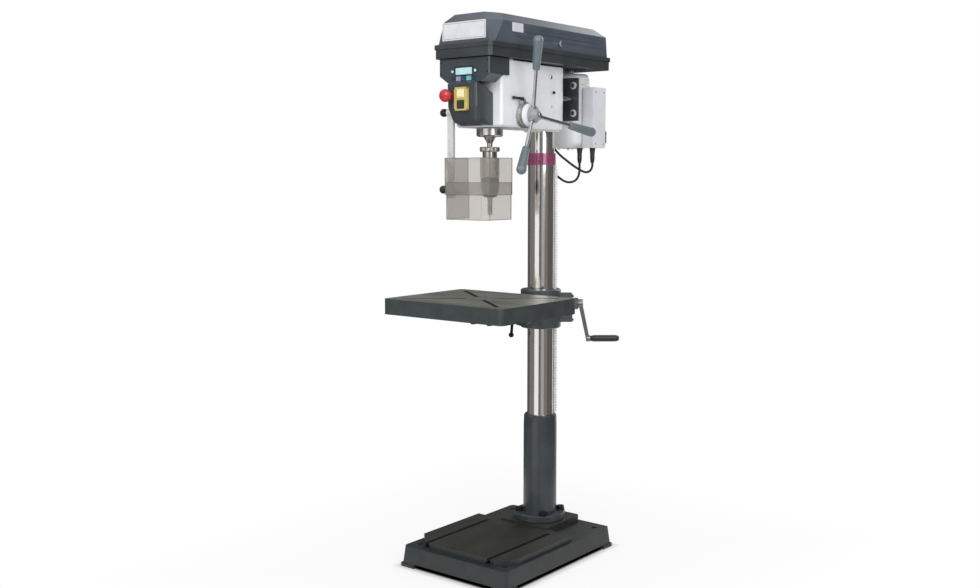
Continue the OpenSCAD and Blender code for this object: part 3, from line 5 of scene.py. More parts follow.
import bmesh
import bpy
from mathutils import Matrix, Vector


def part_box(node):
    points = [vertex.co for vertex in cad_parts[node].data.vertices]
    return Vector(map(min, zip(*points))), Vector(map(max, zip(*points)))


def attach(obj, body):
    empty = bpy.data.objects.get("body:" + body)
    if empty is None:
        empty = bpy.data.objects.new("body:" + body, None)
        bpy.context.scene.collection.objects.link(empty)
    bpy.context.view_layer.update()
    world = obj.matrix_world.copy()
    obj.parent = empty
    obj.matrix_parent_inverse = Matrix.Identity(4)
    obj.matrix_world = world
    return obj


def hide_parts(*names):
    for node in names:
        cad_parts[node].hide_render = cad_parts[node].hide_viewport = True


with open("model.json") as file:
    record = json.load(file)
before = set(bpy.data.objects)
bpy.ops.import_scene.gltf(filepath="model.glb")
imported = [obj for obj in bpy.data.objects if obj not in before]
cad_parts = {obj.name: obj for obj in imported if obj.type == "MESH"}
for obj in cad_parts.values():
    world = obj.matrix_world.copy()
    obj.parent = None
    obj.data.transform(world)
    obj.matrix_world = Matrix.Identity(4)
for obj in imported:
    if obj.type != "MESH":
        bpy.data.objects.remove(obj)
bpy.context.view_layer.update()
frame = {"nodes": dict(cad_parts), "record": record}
nodes = frame["nodes"]
MM = 0.001

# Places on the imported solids, in millimetres, and one angle in degrees
SPINDLE_Y = -285
IDLER_Y = -62
MOTOR_Y = 175
FEED_Y, FEED_Z = -238.5, 1488
GUARD_Y = -391
FRONT_Y = -415
DISPLAY_Z = 1621
TILT_Z = 838
RACK_ANGLE = 40


# Camera
def photo_camera():
    """The camera of the photograph: its place, direction and lens."""
    data = bpy.data.cameras.new("photo_camera")
    data.sensor_width = 36.0
    data.lens = 41.366
    data.clip_end = 60
    camera = bpy.data.objects.new("photo_camera", data)
    camera.location = (2.28485, -3.15913, 1.29751)
    look = Vector((-0.61869, 0.77859, -0.10496))
    camera.rotation_euler = look.to_track_quat("-Z", "Y").to_euler()
    bpy.context.scene.collection.objects.link(camera)
    bpy.context.scene.camera = camera


photo_camera()


# Colours and shader helper
def linear(text):
    """The linear colour of an sRGB hex value."""
    parts = [int(text[i:i + 2], 16) / 255 for i in (1, 3, 5)]
    return [c / 12.92 if c <= 0.04045 else ((c + 0.055) / 1.055) ** 2.4 for c in parts] + [1.0]


def add(tree, kind, inputs=None, **settings):
    """Adds a node with its settings; an input is a value, or an output socket to link."""
    node = tree.nodes.new(kind)
    for name, value in settings.items():
        setattr(node, name, value)
    for name, value in (inputs or {}).items():
        if isinstance(value, bpy.types.NodeSocket):
            tree.links.new(value, node.inputs[name])
        else:
            node.inputs[name].default_value = value
    return node


def surface(name, colour, roughness, metallic=0.0, **sockets):
    """A new material with its steady values on the shader's own sockets."""
    mat = bpy.data.materials.new(name)
    mat.use_nodes = True
    shader = mat.node_tree.nodes["Principled BSDF"]
    shader.inputs["Base Color"].default_value = linear(colour)
    shader.inputs["Roughness"].default_value = roughness
    shader.inputs["Metallic"].default_value = metallic
    for socket, value in sockets.items():
        shader.inputs[socket.replace("_", " ")].default_value = value
    mat.diffuse_color = linear(colour)
    return mat


def object_place(tree, stretch=(1, 1, 1)):
    """Object coordinates, stretched for a pattern that runs one way."""
    coords = add(tree, "ShaderNodeTexCoord")
    place = add(tree, "ShaderNodeMapping", {"Vector": coords.outputs["Object"], "Scale": stretch})
    return place.outputs["Vector"]


def speckle(tree, size_mm, stretch, **shape):
    """Noise whose grains are of one size in millimetres."""
    inputs = {"Vector": object_place(tree, stretch), "Scale": 1000 / size_mm}
    for name, value in shape.items():
        inputs[name.title()] = value
    return add(tree, "ShaderNodeTexNoise", inputs).outputs["Fac"]


def grain(mat, size_mm, deep_mm, stretch=(1, 1, 1), detail=3.0):
    """Fine relief of one grain size, added on top of any relief the material has."""
    tree = mat.node_tree
    shader = tree.nodes["Principled BSDF"]
    noise = speckle(tree, size_mm, stretch, detail=detail, roughness=0.55)
    inputs = {"Height": noise, "Strength": 1.0, "Distance": deep_mm * MM}
    if shader.inputs["Normal"].is_linked:
        inputs["Normal"] = shader.inputs["Normal"].links[0].from_socket
    relief = add(tree, "ShaderNodeBump", inputs)
    tree.links.new(relief.outputs["Normal"], shader.inputs["Normal"])


def mottle(mat, colours, size_mm, stretch=(1, 1, 1)):
    """Soft drift between colours over the surface; returns the colour that it links."""
    tree = mat.node_tree
    noise = speckle(tree, size_mm, stretch, detail=4.0, roughness=0.6)
    ramp = add(tree, "ShaderNodeValToRGB", {"Fac": noise})
    steps = ramp.color_ramp.elements
    while len(steps) < len(colours):
        steps.new(0.5)
    for i, colour in enumerate(colours):
        steps[i].position = 0.35 + 0.3 * i / (len(colours) - 1)
        steps[i].color = linear(colour)
    tree.links.new(ramp.outputs["Color"], tree.nodes["Principled BSDF"].inputs["Base Color"])
    return ramp.outputs["Color"]


def sheen_drift(mat, low, high, size_mm, stretch=(1, 1, 1)):
    """Roughness that drifts between two values, as handling and polish leave it."""
    tree = mat.node_tree
    noise = speckle(tree, size_mm, stretch, detail=3.0)
    span = add(tree, "ShaderNodeMapRange", {"Value": noise, "From Min": 0.3, "From Max": 0.7,
                                            "To Min": low, "To Max": high})
    tree.links.new(span.outputs["Result"], tree.nodes["Principled BSDF"].inputs["Roughness"])


# Materials
def painted_castings():
    """Sand-cast iron under sprayed paint: the 5 mm ripple of the sand shows through a satin coat."""
    made = {}
    for name, shades, rough in (
            ("base_iron_painted_grey", ("#26292a", "#2e3233"), 0.46),
            ("foot_iron_painted_grey", ("#31373a", "#394043"), 0.36),
            ("head_iron_painted_white", ("#e2e5e9", "#e8eaed"), 0.34),
            ("bracket_iron_painted_grey", ("#3c4445", "#474e4f"), 0.4),
            ("hub_iron_painted_grey", ("#878e93", "#949b9f"), 0.32),
            ("motor_shell_sprayed_silver", ("#dfe1e4", "#e5e6e9"), 0.32)):
        mat = surface(name, shades[0], rough, Coat_Weight=0.15, Coat_Roughness=0.25)
        mottle(mat, shades, 60)
        grain(mat, 5, 0.12)
        made[name] = mat
    return made


def enamelled_collar():
    """Enamelled steel ring: deep plum under a hard gloss that takes the column's bright streak."""
    mat = surface("collar_steel_enamelled_plum", "#9c4c74", 0.22, 0.35,
                  Coat_Weight=0.8, Coat_Roughness=0.06)
    mottle(mat, ("#8f4269", "#a3527a"), 40)
    grain(mat, 5, 0.04)
    return mat


def upward(tree):
    """1 where a surface faces up on its own part, 0 elsewhere."""
    coords = add(tree, "ShaderNodeTexCoord")
    parts = add(tree, "ShaderNodeSeparateXYZ", {"Vector": coords.outputs["Normal"]})
    span = add(tree, "ShaderNodeMapRange", {"Value": parts.outputs["Z"],
                                            "From Min": 0.95, "From Max": 0.99})
    return span.outputs["Result"]


def bared(mat, bare, painted, planed):
    """Joins two colours on one casting: planed metal where the mask is 1, and paint elsewhere."""
    tree = mat.node_tree
    colour = add(tree, "ShaderNodeMix", {0: bare, 6: painted, 7: planed}, data_type="RGBA")
    tree.links.new(colour.outputs[2], tree.nodes["Principled BSDF"].inputs["Base Color"])


def planed_table_iron():
    """Cast iron, planed on top and painted below: oiled grey metal with 3 mm tool lines, grey sides."""
    mat = surface("table_iron_planed_and_painted", "#4a5352", 0.42)
    tree = mat.node_tree
    top = upward(tree)
    bared(mat, top, mottle(mat, ("#33393a", "#3c4344"), 60),
          mottle(mat, ("#73746d", "#84857b", "#909186"), 70, (0.25, 1, 1)))
    metal = add(tree, "ShaderNodeMath", {0: top, 1: 0.45}, operation="MULTIPLY")
    tree.links.new(metal.outputs[0], tree.nodes["Principled BSDF"].inputs["Metallic"])
    grain(mat, 3, 0.04, (0.06, 1, 1), 1.0)
    return mat


def planed_base_iron():
    """The base's casting: dull grey paint below, a planed, oil-brown face on the raised T-slot block, whose
    colour is also darkened well below the table's planed iron as painted shade under the table and head.
    """
    mat = surface("base_iron_planed_and_painted", "#2f3334", 0.46)
    tree = mat.node_tree
    coords = add(tree, "ShaderNodeTexCoord")
    parts = add(tree, "ShaderNodeSeparateXYZ", {"Vector": coords.outputs["Object"]})
    planed_z = 0.0868
    top = add(tree, "ShaderNodeMapRange", {"Value": parts.outputs["Z"],
                                           "From Min": planed_z, "From Max": planed_z + 0.0006})
    # Planed face: oiled iron, darkened as painted shade far below the table's planed colours
    bared(mat, top.outputs["Result"], mottle(mat, ("#26292a", "#2e3334"), 60),
          mottle(mat, ("#22221e", "#2a2a25", "#31312b"), 90, (1, 0.3, 1)))
    grain(mat, 5, 0.12)
    return mat


def zinc_strip():
    """Zinc-plated steel strip: pale grey with a soft spangle."""
    mat = surface("steel_strip_zinc_plated", "#dcdddd", 0.42, 0.3)
    mottle(mat, ("#d3d4d5", "#e3e4e4"), 15)
    grain(mat, 4, 0.02)
    return mat


def ground_column_steel():
    """Centreless-ground tube: near mirror, in which the studio stands as upright bands over faint rings."""
    mat = surface("column_steel_ground", "#ebe8e5", 0.1, 1.0)
    mottle(mat, ("#e6e3df", "#f0edea"), 120, (1, 1, 0.2))
    sheen_drift(mat, 0.08, 0.13, 60, (0.3, 0.3, 1))
    grain(mat, 3, 0.002, (0.02, 0.02, 1), 1.0)
    return mat


def turned_steel(name, colour, rough):
    """Lathe-turned steel: bright, with fine rings drawn 2 mm apart so that they show."""
    mat = surface(name, colour, rough, 1.0)
    sheen_drift(mat, rough * 0.8, rough * 1.3, 20)
    grain(mat, 2, 0.02, (1, 1, 0.3), 1.0)
    return mat


def cut_gear_steel():
    """Milled gear steel with a grey oil film."""
    mat = surface("gear_steel_milled", "#8f8d89", 0.34, 1.0)
    mottle(mat, ("#7d7b77", "#9c9a96"), 12)
    grain(mat, 2, 0.03)
    return mat


def cast_aluminium():
    """Die-cast aluminium, lightly machined: soft grey metal with a 3 mm satin bloom."""
    mat = surface("aluminium_die_cast", "#c4c4c2", 0.36, 0.9)
    mottle(mat, ("#b4b4b2", "#cfcfcd"), 18)
    grain(mat, 3, 0.03)
    return mat


def plated_chrome():
    """Chrome plate on polished steel: mirror bright, faintly wavy."""
    mat = surface("chrome_plated_steel", "#d8dadc", 0.1, 1.0)
    sheen_drift(mat, 0.07, 0.16, 25)
    grain(mat, 30, 0.05, detail=1.0)
    return mat


def blackened_steel():
    """Oil-blackened steel: deep brown-black with a satin gleam."""
    mat = surface("steel_oil_blackened", "#1f2122", 0.38, 0.6)
    mottle(mat, ("#191b1c", "#282a2b"), 15)
    grain(mat, 2, 0.03)
    return mat


def powder_coated_sheet():
    """Folded steel sheet, powder coated: fine 3 mm orange peel under a dull black-grey."""
    mat = surface("sheet_steel_powder_coated", "#2f3437", 0.4, Coat_Weight=0.2, Coat_Roughness=0.25)
    mottle(mat, ("#2c3033", "#363c3f"), 80)
    grain(mat, 3, 0.05)
    return mat


def moulded(name, shades, rough, grain_mm=3.0, deep=0.03, coat=0.12):
    """Injection-moulded ABS: even colour, a spark-eroded grain and a soft sheen."""
    mat = surface(name, shades[0], rough, IOR=1.53, Coat_Weight=coat, Coat_Roughness=0.22)
    mottle(mat, shades, 90)
    grain(mat, grain_mm, deep)
    return mat


def smoky_shield():
    """Bent polycarbonate, tinted warm grey and lightly hazed by chips: what is behind shows pale."""
    mat = surface("polycarbonate_smoked", "#d2ceca", 0.05, IOR=1.45, Transmission_Weight=0.82)
    sheen_drift(mat, 0.03, 0.07, 60)
    grain(mat, 60, 0.02, detail=1.0)
    return mat


def belt_rubber():
    """Fabric-backed neoprene: matt black with a 2 mm weave."""
    mat = surface("belt_neoprene_woven", "#1c1d1e", 0.75)
    mottle(mat, ("#161718", "#242526"), 10)
    grain(mat, 2, 0.08)
    return mat


def display_acrylic():
    """Back-printed acrylic window: pale cyan under a gloss face."""
    mat = surface("window_acrylic_cyan", "#b4dbe4", 0.12, IOR=1.49, Coat_Weight=0.6, Coat_Roughness=0.05)
    mottle(mat, ("#a9d4de", "#c3e5ec"), 30, (1, 1, 0.4))
    grain(mat, 40, 0.02, detail=1.0)
    return mat


def label_foil():
    """Bare aluminium foil for plates: pale silver, with fine lines brushed one way."""
    mat = surface("label_foil_brushed", "#dddee4", 0.34, 0.15)
    grain(mat, 2, 0.006, (0.1, 1, 1), 1.0)
    mottle(mat, ("#d6d7de", "#e2e3e8"), 40)
    return mat


cast = painted_castings()
turned = turned_steel("steel_lathe_turned", "#c4c2be", 0.2)
tool = turned_steel("tool_steel_ground", "#bcb7b0", 0.22)
column_steel = ground_column_steel()
gear = cut_gear_steel()
aluminium = cast_aluminium()
chrome = plated_chrome()
black_steel = blackened_steel()
sheet = powder_coated_sheet()
table_iron = planed_table_iron()
base_iron = planed_base_iron()
strip = zinc_strip()
rubber = belt_rubber()
smoked = smoky_shield()
foil = label_foil()
lid_abs = moulded("lid_abs_grained", ("#454d59", "#515965"), 0.34, 4.0, 0.012, 0.2)
panel_abs = moulded("panel_abs_grained", ("#343b3f", "#3d4448"), 0.32, 4.0, 0.015, 0.25)
black_abs = moulded("black_nylon_moulded", ("#17191a", "#202324"), 0.42)
teal_abs = moulded("key_silicone_teal", ("#2d8794", "#3596a3"), 0.4)
yellow_abs = moulded("switch_frame_abs_yellow", ("#bba95f", "#c6b46c"), 0.4)
cream_abs = moulded("button_abs_cream", ("#e9e1b4", "#f0e9c2"), 0.36)
olive_abs = moulded("button_abs_dark", ("#2b2e25", "#33372c"), 0.4)
red_abs = moulded("button_abs_red", ("#b31f27", "#c2262e"), 0.3, coat=0.35)
key_lilac = moulded("key_silicone_lilac", ("#858ab0", "#9196ba"), 0.4)
key_dark = moulded("key_silicone_petrol", ("#0d444c", "#125058"), 0.4)
key_blue = moulded("key_silicone_sky", ("#66aab5", "#74b6c1"), 0.4)
pale_abs = moulded("box_abs_pale", ("#d3d6dc", "#dcdfe4"), 0.4)
grip_abs = moulded("grip_phenolic_grey", ("#5f6b71", "#6a767b"), 0.32, coat=0.25)

FINISHES = {
    "dark_casting": cast["base_iron_painted_grey"], "foot_paint": cast["foot_iron_painted_grey"],
    "bright_steel": turned, "gear_steel": gear, "plum_steel": enamelled_collar(),
    "pale_casting": cast["head_iron_painted_white"], "black_sheet": sheet, "lid_plastic": lid_abs,
    "chrome_plate": chrome, "panel_plastic": panel_abs, "teal_plastic": teal_abs,
    "yellow_plastic": yellow_abs, "cream_plastic": cream_abs, "dark_plastic": olive_abs,
    "red_plastic": red_abs, "cast_aluminium": aluminium, "belt_rubber": rubber,
    "motor_paint": cast["motor_shell_sprayed_silver"], "black_plastic": black_abs,
    "pale_plastic": pale_abs, "grip_plastic": grip_abs, "shield_plastic": smoked,
    "black_steel": black_steel, "bracket_paint": cast["bracket_iron_painted_grey"],
    "table_casting": table_iron, "tool_steel": tool, "display_lens": display_acrylic(),
}


def dress_frame():
    """Gives every CAD node its real finish."""
    slot_of = {part["node"]: part["material_slot"] for part in frame["record"]["subparts"]}
    own = {"column": column_steel, "guard_bar": strip, "key_left": key_lilac, "key_middle": key_dark,
           "key_right": key_blue, "base_plate": base_iron, "feed_hub": cast["hub_iron_painted_grey"],
           "rack": strip, "lid_latch": strip}
    for name, node in nodes.items():
        finish = own.get(name, FINISHES[slot_of[name]])
        for holder in node.material_slots:
            holder.material = finish
        if not node.material_slots:
            node.data.materials.append(finish)


dress_frame()


# Mesh helpers, in millimetres
def facing(at, out=(0, 0, 1), right=None):
    """A frame at a point whose Z looks out and whose X points right."""
    z = Vector(out).normalized()
    x = Vector(right) if right else (Vector((1, 0, 0)) if abs(z.x) < 0.9 else Vector((0, 1, 0)))
    x = (x - z * x.dot(z)).normalized()
    y = z.cross(x)
    return Matrix(((x.x, y.x, z.x, at[0]), (x.y, y.y, z.y, at[1]), (x.z, y.z, z.z, at[2]), (0, 0, 0, 1)))


def ring_point(place, radius, turn, height=0.0):
    """A point at a radius and a turn round the frame's Z."""
    return place @ Vector((radius * math.cos(turn), radius * math.sin(turn), height))


def skin(bm, rings, closed=True):
    """Faces between rows of equal length, one row after the other."""
    steps = len(rings[0])
    for low, high in zip(rings, rings[1:]):
        for k in range(steps if closed else steps - 1):
            n = (k + 1) % steps
            bm.faces.new((low[k], low[n], high[n], high[k]))


def turned_form(bm, place, profile, steps=32):
    """Spins a profile of (radius, height) pairs round the frame's Z."""
    rings = []
    for radius, height in profile:
        count = steps if radius else 1
        rings.append([bm.verts.new(ring_point(place, radius, 2 * math.pi * k / steps, height))
                      for k in range(count)])
    for low, high in zip(rings, rings[1:]):
        for k in range(steps):
            n = (k + 1) % steps
            if len(low) == 1:
                bm.faces.new((low[0], high[n], high[k]))
            elif len(high) == 1:
                bm.faces.new((low[k], low[n], high[0]))
            else:
                bm.faces.new((low[k], low[n], high[n], high[k]))


def row_at(bm, place, outline, z=0.0):
    """The points of an outline in the frame's XY, at a height."""
    return [bm.verts.new(place @ Vector((x, y, z))) for x, y in outline]


def slab(bm, place, outline, thick, ease=0.0, from_z=0.0):
    """A flat piece of an outline in the frame's XY, with its outer edge eased."""
    low, high = row_at(bm, place, outline, from_z), row_at(bm, place, outline, from_z + thick)
    top = bm.faces.new(high)
    bm.faces.new(list(reversed(low)))
    skin(bm, [low, high])
    if ease > 0:
        bmesh.ops.bevel(bm, geom=list(top.edges), offset=ease, segments=2, affect="EDGES")


def pierced_slab(bm, place, outline, holes, thick):
    """A flat piece of an outline in the frame's XY with holes through it."""
    edges = []
    for loop in (outline, *holes):
        ring = row_at(bm, place, loop)
        edges += [bm.edges.new(pair) for pair in zip(ring, ring[1:] + ring[:1])]
    filled = bmesh.ops.triangle_fill(bm, edges=edges, use_beauty=True)["geom"]
    faces = [item for item in filled if isinstance(item, bmesh.types.BMFace)]
    grown = bmesh.ops.extrude_face_region(bm, geom=faces)["geom"]
    bmesh.ops.translate(bm, vec=place.to_3x3() @ Vector((0, 0, thick)),
                        verts=[item for item in grown if isinstance(item, bmesh.types.BMVert)])


def round_box(w, h, corner):
    """Outline of a rectangle with rounded corners."""
    steps = 4
    points = []
    for cx, cy, start in ((1, 1, 0), (-1, 1, 90), (-1, -1, 180), (1, -1, 270)):
        for k in range(steps + 1):
            a = math.radians(start + 90 * k / steps)
            points.append((cx * (w / 2 - corner) + corner * math.cos(a),
                           cy * (h / 2 - corner) + corner * math.sin(a)))
    return points


def bar(x0, x1, half):
    """Outline of a straight bar along X, of a given half width."""
    return [(x0, -half), (x1, -half), (x1, half), (x0, half)]


def hexagon(across):
    """Outline of a hexagon of a given size across its flats."""
    r = across / math.sqrt(3)
    return [(r * math.cos(math.pi * k / 3), r * math.sin(math.pi * k / 3)) for k in range(6)]


def piece(name, bm, body, finish, replaces=(), crease=35):
    """Turns millimetre geometry into a piece that rides on a body."""
    bmesh.ops.recalc_face_normals(bm, faces=bm.faces)
    bmesh.ops.scale(bm, vec=(MM, MM, MM), verts=bm.verts)
    mesh = bpy.data.meshes.new(name)
    bm.to_mesh(mesh)
    bm.free()
    mesh.shade_smooth()
    mesh.set_sharp_from_angle(angle=math.radians(crease))
    mesh.materials.append(finish)
    made = bpy.data.objects.new(name, mesh)
    bpy.context.scene.collection.objects.link(made)
    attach(made, body)
    if replaces:
        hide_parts(*replaces)
    return made


def cap_screw(bm, at, out, d):
    """Socket cap screw head of a nominal size, seen from outside."""
    r = d * 0.75
    turned_form(bm, facing(at, out), [(0, 0.0), (r, 0.0), (r, d * 0.85), (r - 0.4, d), (d * 0.5, d)], 24)
    turned_form(bm, facing(at, out), [(d * 0.5, d), (d * 0.46, d * 0.45), (0, d * 0.4)], 6)


def pan_screw(bm, at, out, r, high):
    """Round-headed screw with two thin raised bars crossed on its crown."""
    place = facing(at, out)
    dome = [(r, 0.0), (r, high * 0.35), (r * 0.8, high * 0.8), (r * 0.45, high), (0, high)]
    turned_form(bm, place, dome, 20)
    first_bar = 0.6
    for a in (first_bar, first_bar + math.pi / 2):
        slab(bm, place @ Matrix.Rotation(a, 4, "Z"), bar(-r * 0.5, r * 0.5, r * 0.09), 0.08, 0, high)


def hex_head(bm, at, out, across, high):
    """Hexagon head of a nut or bolt with its top edge eased."""
    slab(bm, facing(at, out), hexagon(across), high, min(0.8, high * 0.25))


def knurled_band(bm, place, radius, low, high, teeth, deep):
    """A knurled band: straight teeth with eased ends round the frame's Z."""
    skin(bm, [[bm.verts.new(ring_point(place, radius + deep * out * (k % 2), math.pi * k / teeth, z))
               for k in range(teeth * 2)]
              for z, out in ((low, 0.0), (low + 0.6, 1.0), (high - 0.6, 1.0), (high, 0.0))])


def wrapped_label(bm, centre, radius, a0, a1, z0, z1):
    """A thin plate wrapped round an upright drum between two angles."""
    steps, thick = 14, 0.4
    place = facing((*centre, 0))
    grid = [[bm.verts.new(ring_point(place, r, math.radians(a0 + (a1 - a0) * k / steps), z))
             for k in range(steps + 1)]
            for z, r in ((z0, radius), (z0, radius + thick), (z1, radius + thick), (z1, radius))]
    skin(bm, grid, closed=False)
    for k in (0, steps):
        bm.faces.new([row[k] for row in grid])


# Motor cables
UPPER_ROUTE = [
    (100, 165, 1340), (100, 165, 1330), (97, 163, 1318), (90, 159, 1310), (80, 154, 1308), (68, 149, 1312),
    (56, 141, 1320), (44, 129, 1331), (30, 112, 1347), (13, 93, 1367), (-2, 79, 1390), (-13, 68, 1412),
    (-20, 60, 1432), (-22, 58, 1444), (-22, 58, 1456)]
LOWER_ROUTE = [
    (66, 136, 1340), (66, 136, 1324), (66, 134, 1305), (62, 131, 1289), (54, 125, 1278), (42, 116, 1273),
    (29, 105, 1275), (16, 95, 1284), (2, 83, 1300), (-14, 72, 1322), (-28, 62, 1350), (-38, 54, 1380),
    (-44, 46, 1410), (-47, 41, 1432), (-47, 40, 1444), (-47, 40, 1456)]
CABLE_D = 8.0


def smooth_route(points):
    """Points along a smooth curve through a route, in metres."""
    per_span = 4
    pts = [Vector(p) * MM for p in points]
    pts = [pts[0] * 2 - pts[1]] + pts + [pts[-1] * 2 - pts[-2]]
    out = []
    for i in range(1, len(pts) - 2):
        a, b, c, d = pts[i - 1:i + 3]
        for k in range(per_span):
            t = k / per_span
            out.append(0.5 * ((2 * b) + (c - a) * t + (2 * a - 5 * b + 4 * c - d) * t * t
                              + (3 * b - a - 3 * c + d) * t ** 3))
    out.append(pts[-2])
    return out


def motor_cable(name, route, node):
    """One black cable from a gland of the motor up into the head."""
    points = smooth_route(route)
    curve = bpy.data.curves.new(name, "CURVE")
    curve.dimensions = "3D"
    curve.bevel_depth = CABLE_D / 2 * MM
    curve.bevel_resolution = 5
    curve.use_fill_caps = True
    spline = curve.splines.new("POLY")
    spline.points.add(len(points) - 1)
    for point, at in zip(spline.points, points):
        point.co = (*at, 1)
    curve.materials.append(rubber)
    cable = bpy.data.objects.new(name, curve)
    bpy.context.scene.collection.objects.link(cable)
    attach(cable, "stand")
    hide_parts(node)


motor_cable("cable_upper_lead", UPPER_ROUTE, "cable_upper")
motor_cable("cable_lower_lead", LOWER_ROUTE, "cable_lower")


def cable_grommets():
    """Rubber grommets where the cables enter the head's underside."""
    bm = bmesh.new()
    for x, y in ((-22, 58), (-47, 40)):
        turned_form(bm, facing((x, y, 1450), (0, 0, -1)),
                    [(4.3, -3), (4.3, 3.2), (5, 4), (8.5, 3.4), (9.5, 2), (9.5, 0), (6.9, 0), (6.9, -3),
                     (4.3, -3)], 28)
    piece("cable_grommets", bm, "stand", rubber)


# Belts
def v_belt(name, node, y0, r0, y1, r1, z):
    """V-belt round two pulleys: a wedge section with a cover seam and a notched inner face."""
    section = [(0.4, -1.7), (5.2, -3.2), (6.0, -2.9), (6.0, 2.9), (5.2, 3.2), (0.4, 1.7)]
    steps = 40
    swing = math.acos((r0 - r1) / abs(y1 - y0))
    ahead = -1 if y1 > y0 else 1
    path = [(y0, r0, swing + 2 * (math.pi - swing) * k / steps) for k in range(steps + 1)]
    path += [(y1, r1, -swing + 2 * swing * k / steps) for k in range(steps + 1)]
    bm = bmesh.new()
    rings = []
    for i, (centre_y, radius, a) in enumerate(path):
        ring = []
        for out, high in section:
            notch = 0.9 if out < 1 and i % 2 else 0.0
            reach = radius + out + notch
            ring.append(bm.verts.new((reach * math.sin(a), centre_y - ahead * reach * math.cos(a),
                                      z + high)))
        rings.append(ring)
    skin(bm, rings + rings[:1])
    piece(name, bm, "stand", rubber, (node,), 30)


def belt_drive():
    """The two belts: spindle to idler above, motor to idler below."""
    v_belt("front_v_belt", "front_belt", SPINDLE_Y, 42, IDLER_Y, 44, 1727.5)
    v_belt("rear_v_belt", "rear_belt", MOTOR_Y, 50, IDLER_Y, 32, 1710.5)


# Lid
def lid_dressing():
    """Bare silver plate on the lid's front with a thin grey border line."""
    plate_z = 1745.5
    bm = bmesh.new()
    slab(bm, facing((0, FRONT_Y - 0.1, plate_z), (0, -1, 0), (1, 0, 0)), round_box(176, 56, 3), 0.7, 0.3)
    piece("lid_front_plate", bm, "lid", foil)
    border = surface("label_border_grey", "#8f9398", 0.4, 0.3)
    grain(border, 3, 0.02)
    bm = bmesh.new()
    place = facing((0, FRONT_Y - 0.92, plate_z), (0, -1, 0), (1, 0, 0))
    skin(bm, [row_at(bm, place, round_box(168, 48, 2)), row_at(bm, place, round_box(165.6, 45.6, 1.4))])
    piece("lid_plate_border", bm, "lid", border)


# Control panel
def panel_dressing():
    """Navy key film with windows for the keys, bezels and screws on the control panel."""
    film = surface("key_film_navy_polyester", "#27324e", 0.32, Coat_Weight=0.3, Coat_Roughness=0.2)
    mottle(film, ("#222c47", "#2d3957"), 30)
    grain(film, 4, 0.01)
    bm = bmesh.new()
    place = facing((0, FRONT_Y - 0.1, 1597), (0, -1, 0), (1, 0, 0))
    windows = [[(x + a, 1 + b) for a, b in round_box(19.8, 14.8, 0.5)] for x in (-21, 0, 21)]
    pierced_slab(bm, place, [(-46, -9), (46, -9), (52, 9), (-52, 9)], windows, 0.5)
    piece("panel_key_film", bm, "stand", film)
    bm = bmesh.new()
    place = facing((0, FRONT_Y, DISPLAY_Z), (0, -1, 0), (1, 0, 0))
    outer, inner = round_box(76, 30, 5), round_box(67.6, 21.6, 1.5)
    crest = [(x * 0.985, y * 0.96) for x, y in outer]
    skin(bm, [row_at(bm, place, row, z)
              for row, z in ((outer, 0.0), (outer, 1.2), (crest, 1.7), (inner, 1.4), (inner, 0.0))])
    for x in (-46, 46):
        turned_form(bm, facing((x, FRONT_Y, DISPLAY_Z), (0, -1, 0)),
                    [(7.6, 0), (7.6, 1.0), (6.9, 1.6), (5.0, 1.3), (4.8, 0)], 28)
    piece("panel_bezels", bm, "stand", black_abs)
    bm = bmesh.new()
    for x in (-22, 30):
        for z in (1501.5, 1566.5):
            pan_screw(bm, (x, -436.05, z), (0, -1, 0), 2.4, 1.2)
    for x, z in ((-94, 1650), (94, 1650), (-94, 1616), (94, 1616)):
        pan_screw(bm, (x, FRONT_Y - 0.05, z), (0, -1, 0), 3.0, 1.4)
    piece("panel_screws", bm, "stand", black_steel)


# Head and feed
def head_dressing():
    """A cap screw on each side of the head casting and a domed plug on its right."""
    bm = bmesh.new()
    for s in (-1, 1):
        cap_screw(bm, (s * 74.05, -36, 1572), (s, 0, 0), 6)
    piece("head_cap_screws", bm, "stand", black_steel)
    bm = bmesh.new()
    pan_screw(bm, (76.05, -52, 1622), (1, 0, 0), 6.5, 3.0)
    piece("head_plug", bm, "stand", chrome)


def depth_dial_marks():
    """Graduation lines round the depth dial, a long one at every fifth."""
    bm = bmesh.new()
    lines = 60
    for k in range(lines):
        a = 2 * math.pi * k / lines
        long = 8 if k % 5 == 0 else 5
        radial = Vector((0, math.cos(a), math.sin(a)))
        at = Vector((108.4, FEED_Y, FEED_Z)) + radial * 41.02
        slab(bm, facing(at, radial, (1, 0, 0)), bar(-5, long - 5, 0.35), 0.12)
    piece("depth_dial_marks", bm, "depth_dial", black_steel)


def chuck_knurl():
    """Knurled rim of the chuck's upper flange."""
    bm = bmesh.new()
    knurled_band(bm, facing((0, SPINDLE_Y, 0)), 31.9, 1375.6, 1385.4, 60, 0.7)
    piece("chuck_knurl", bm, "spindle", tool, crease=20)


def feed_dressing():
    """White cover on the hub's flange, collars where the spokes screw in, and the hub's end screw."""
    bm = bmesh.new()
    turned_form(bm, facing((118.6, FEED_Y, FEED_Z), (1, 0, 0)),
                [(11.3, 0), (34.5, 0), (36.8, 3), (36.8, 10.6), (34.6, 12.4), (28.2, 13), (26.2, 14.8),
                 (25.5, 14.8), (25.5, 2.2), (11.3, 2.2), (11.3, 0)], 48)
    piece("feed_sleeve", bm, "feed", cast["head_iron_painted_white"])
    bm = bmesh.new()
    lean = math.radians(17)
    for turn in (108, -12, -132):
        t = math.radians(turn)
        out = Vector((math.sin(lean), math.cos(lean) * math.cos(t), math.cos(lean) * math.sin(t)))
        at = Vector((139, FEED_Y, FEED_Z)) + out * 26.5
        turned_form(bm, facing(at, out),
                    [(6.2, -2), (9.4, -2), (9.4, 3.5), (8.2, 4.6), (6.2, 4.6), (6.2, -2)], 24)
    cap_screw(bm, (160.8, FEED_Y, FEED_Z), (1, 0, 0), 8)
    piece("feed_collars", bm, "feed", turned)


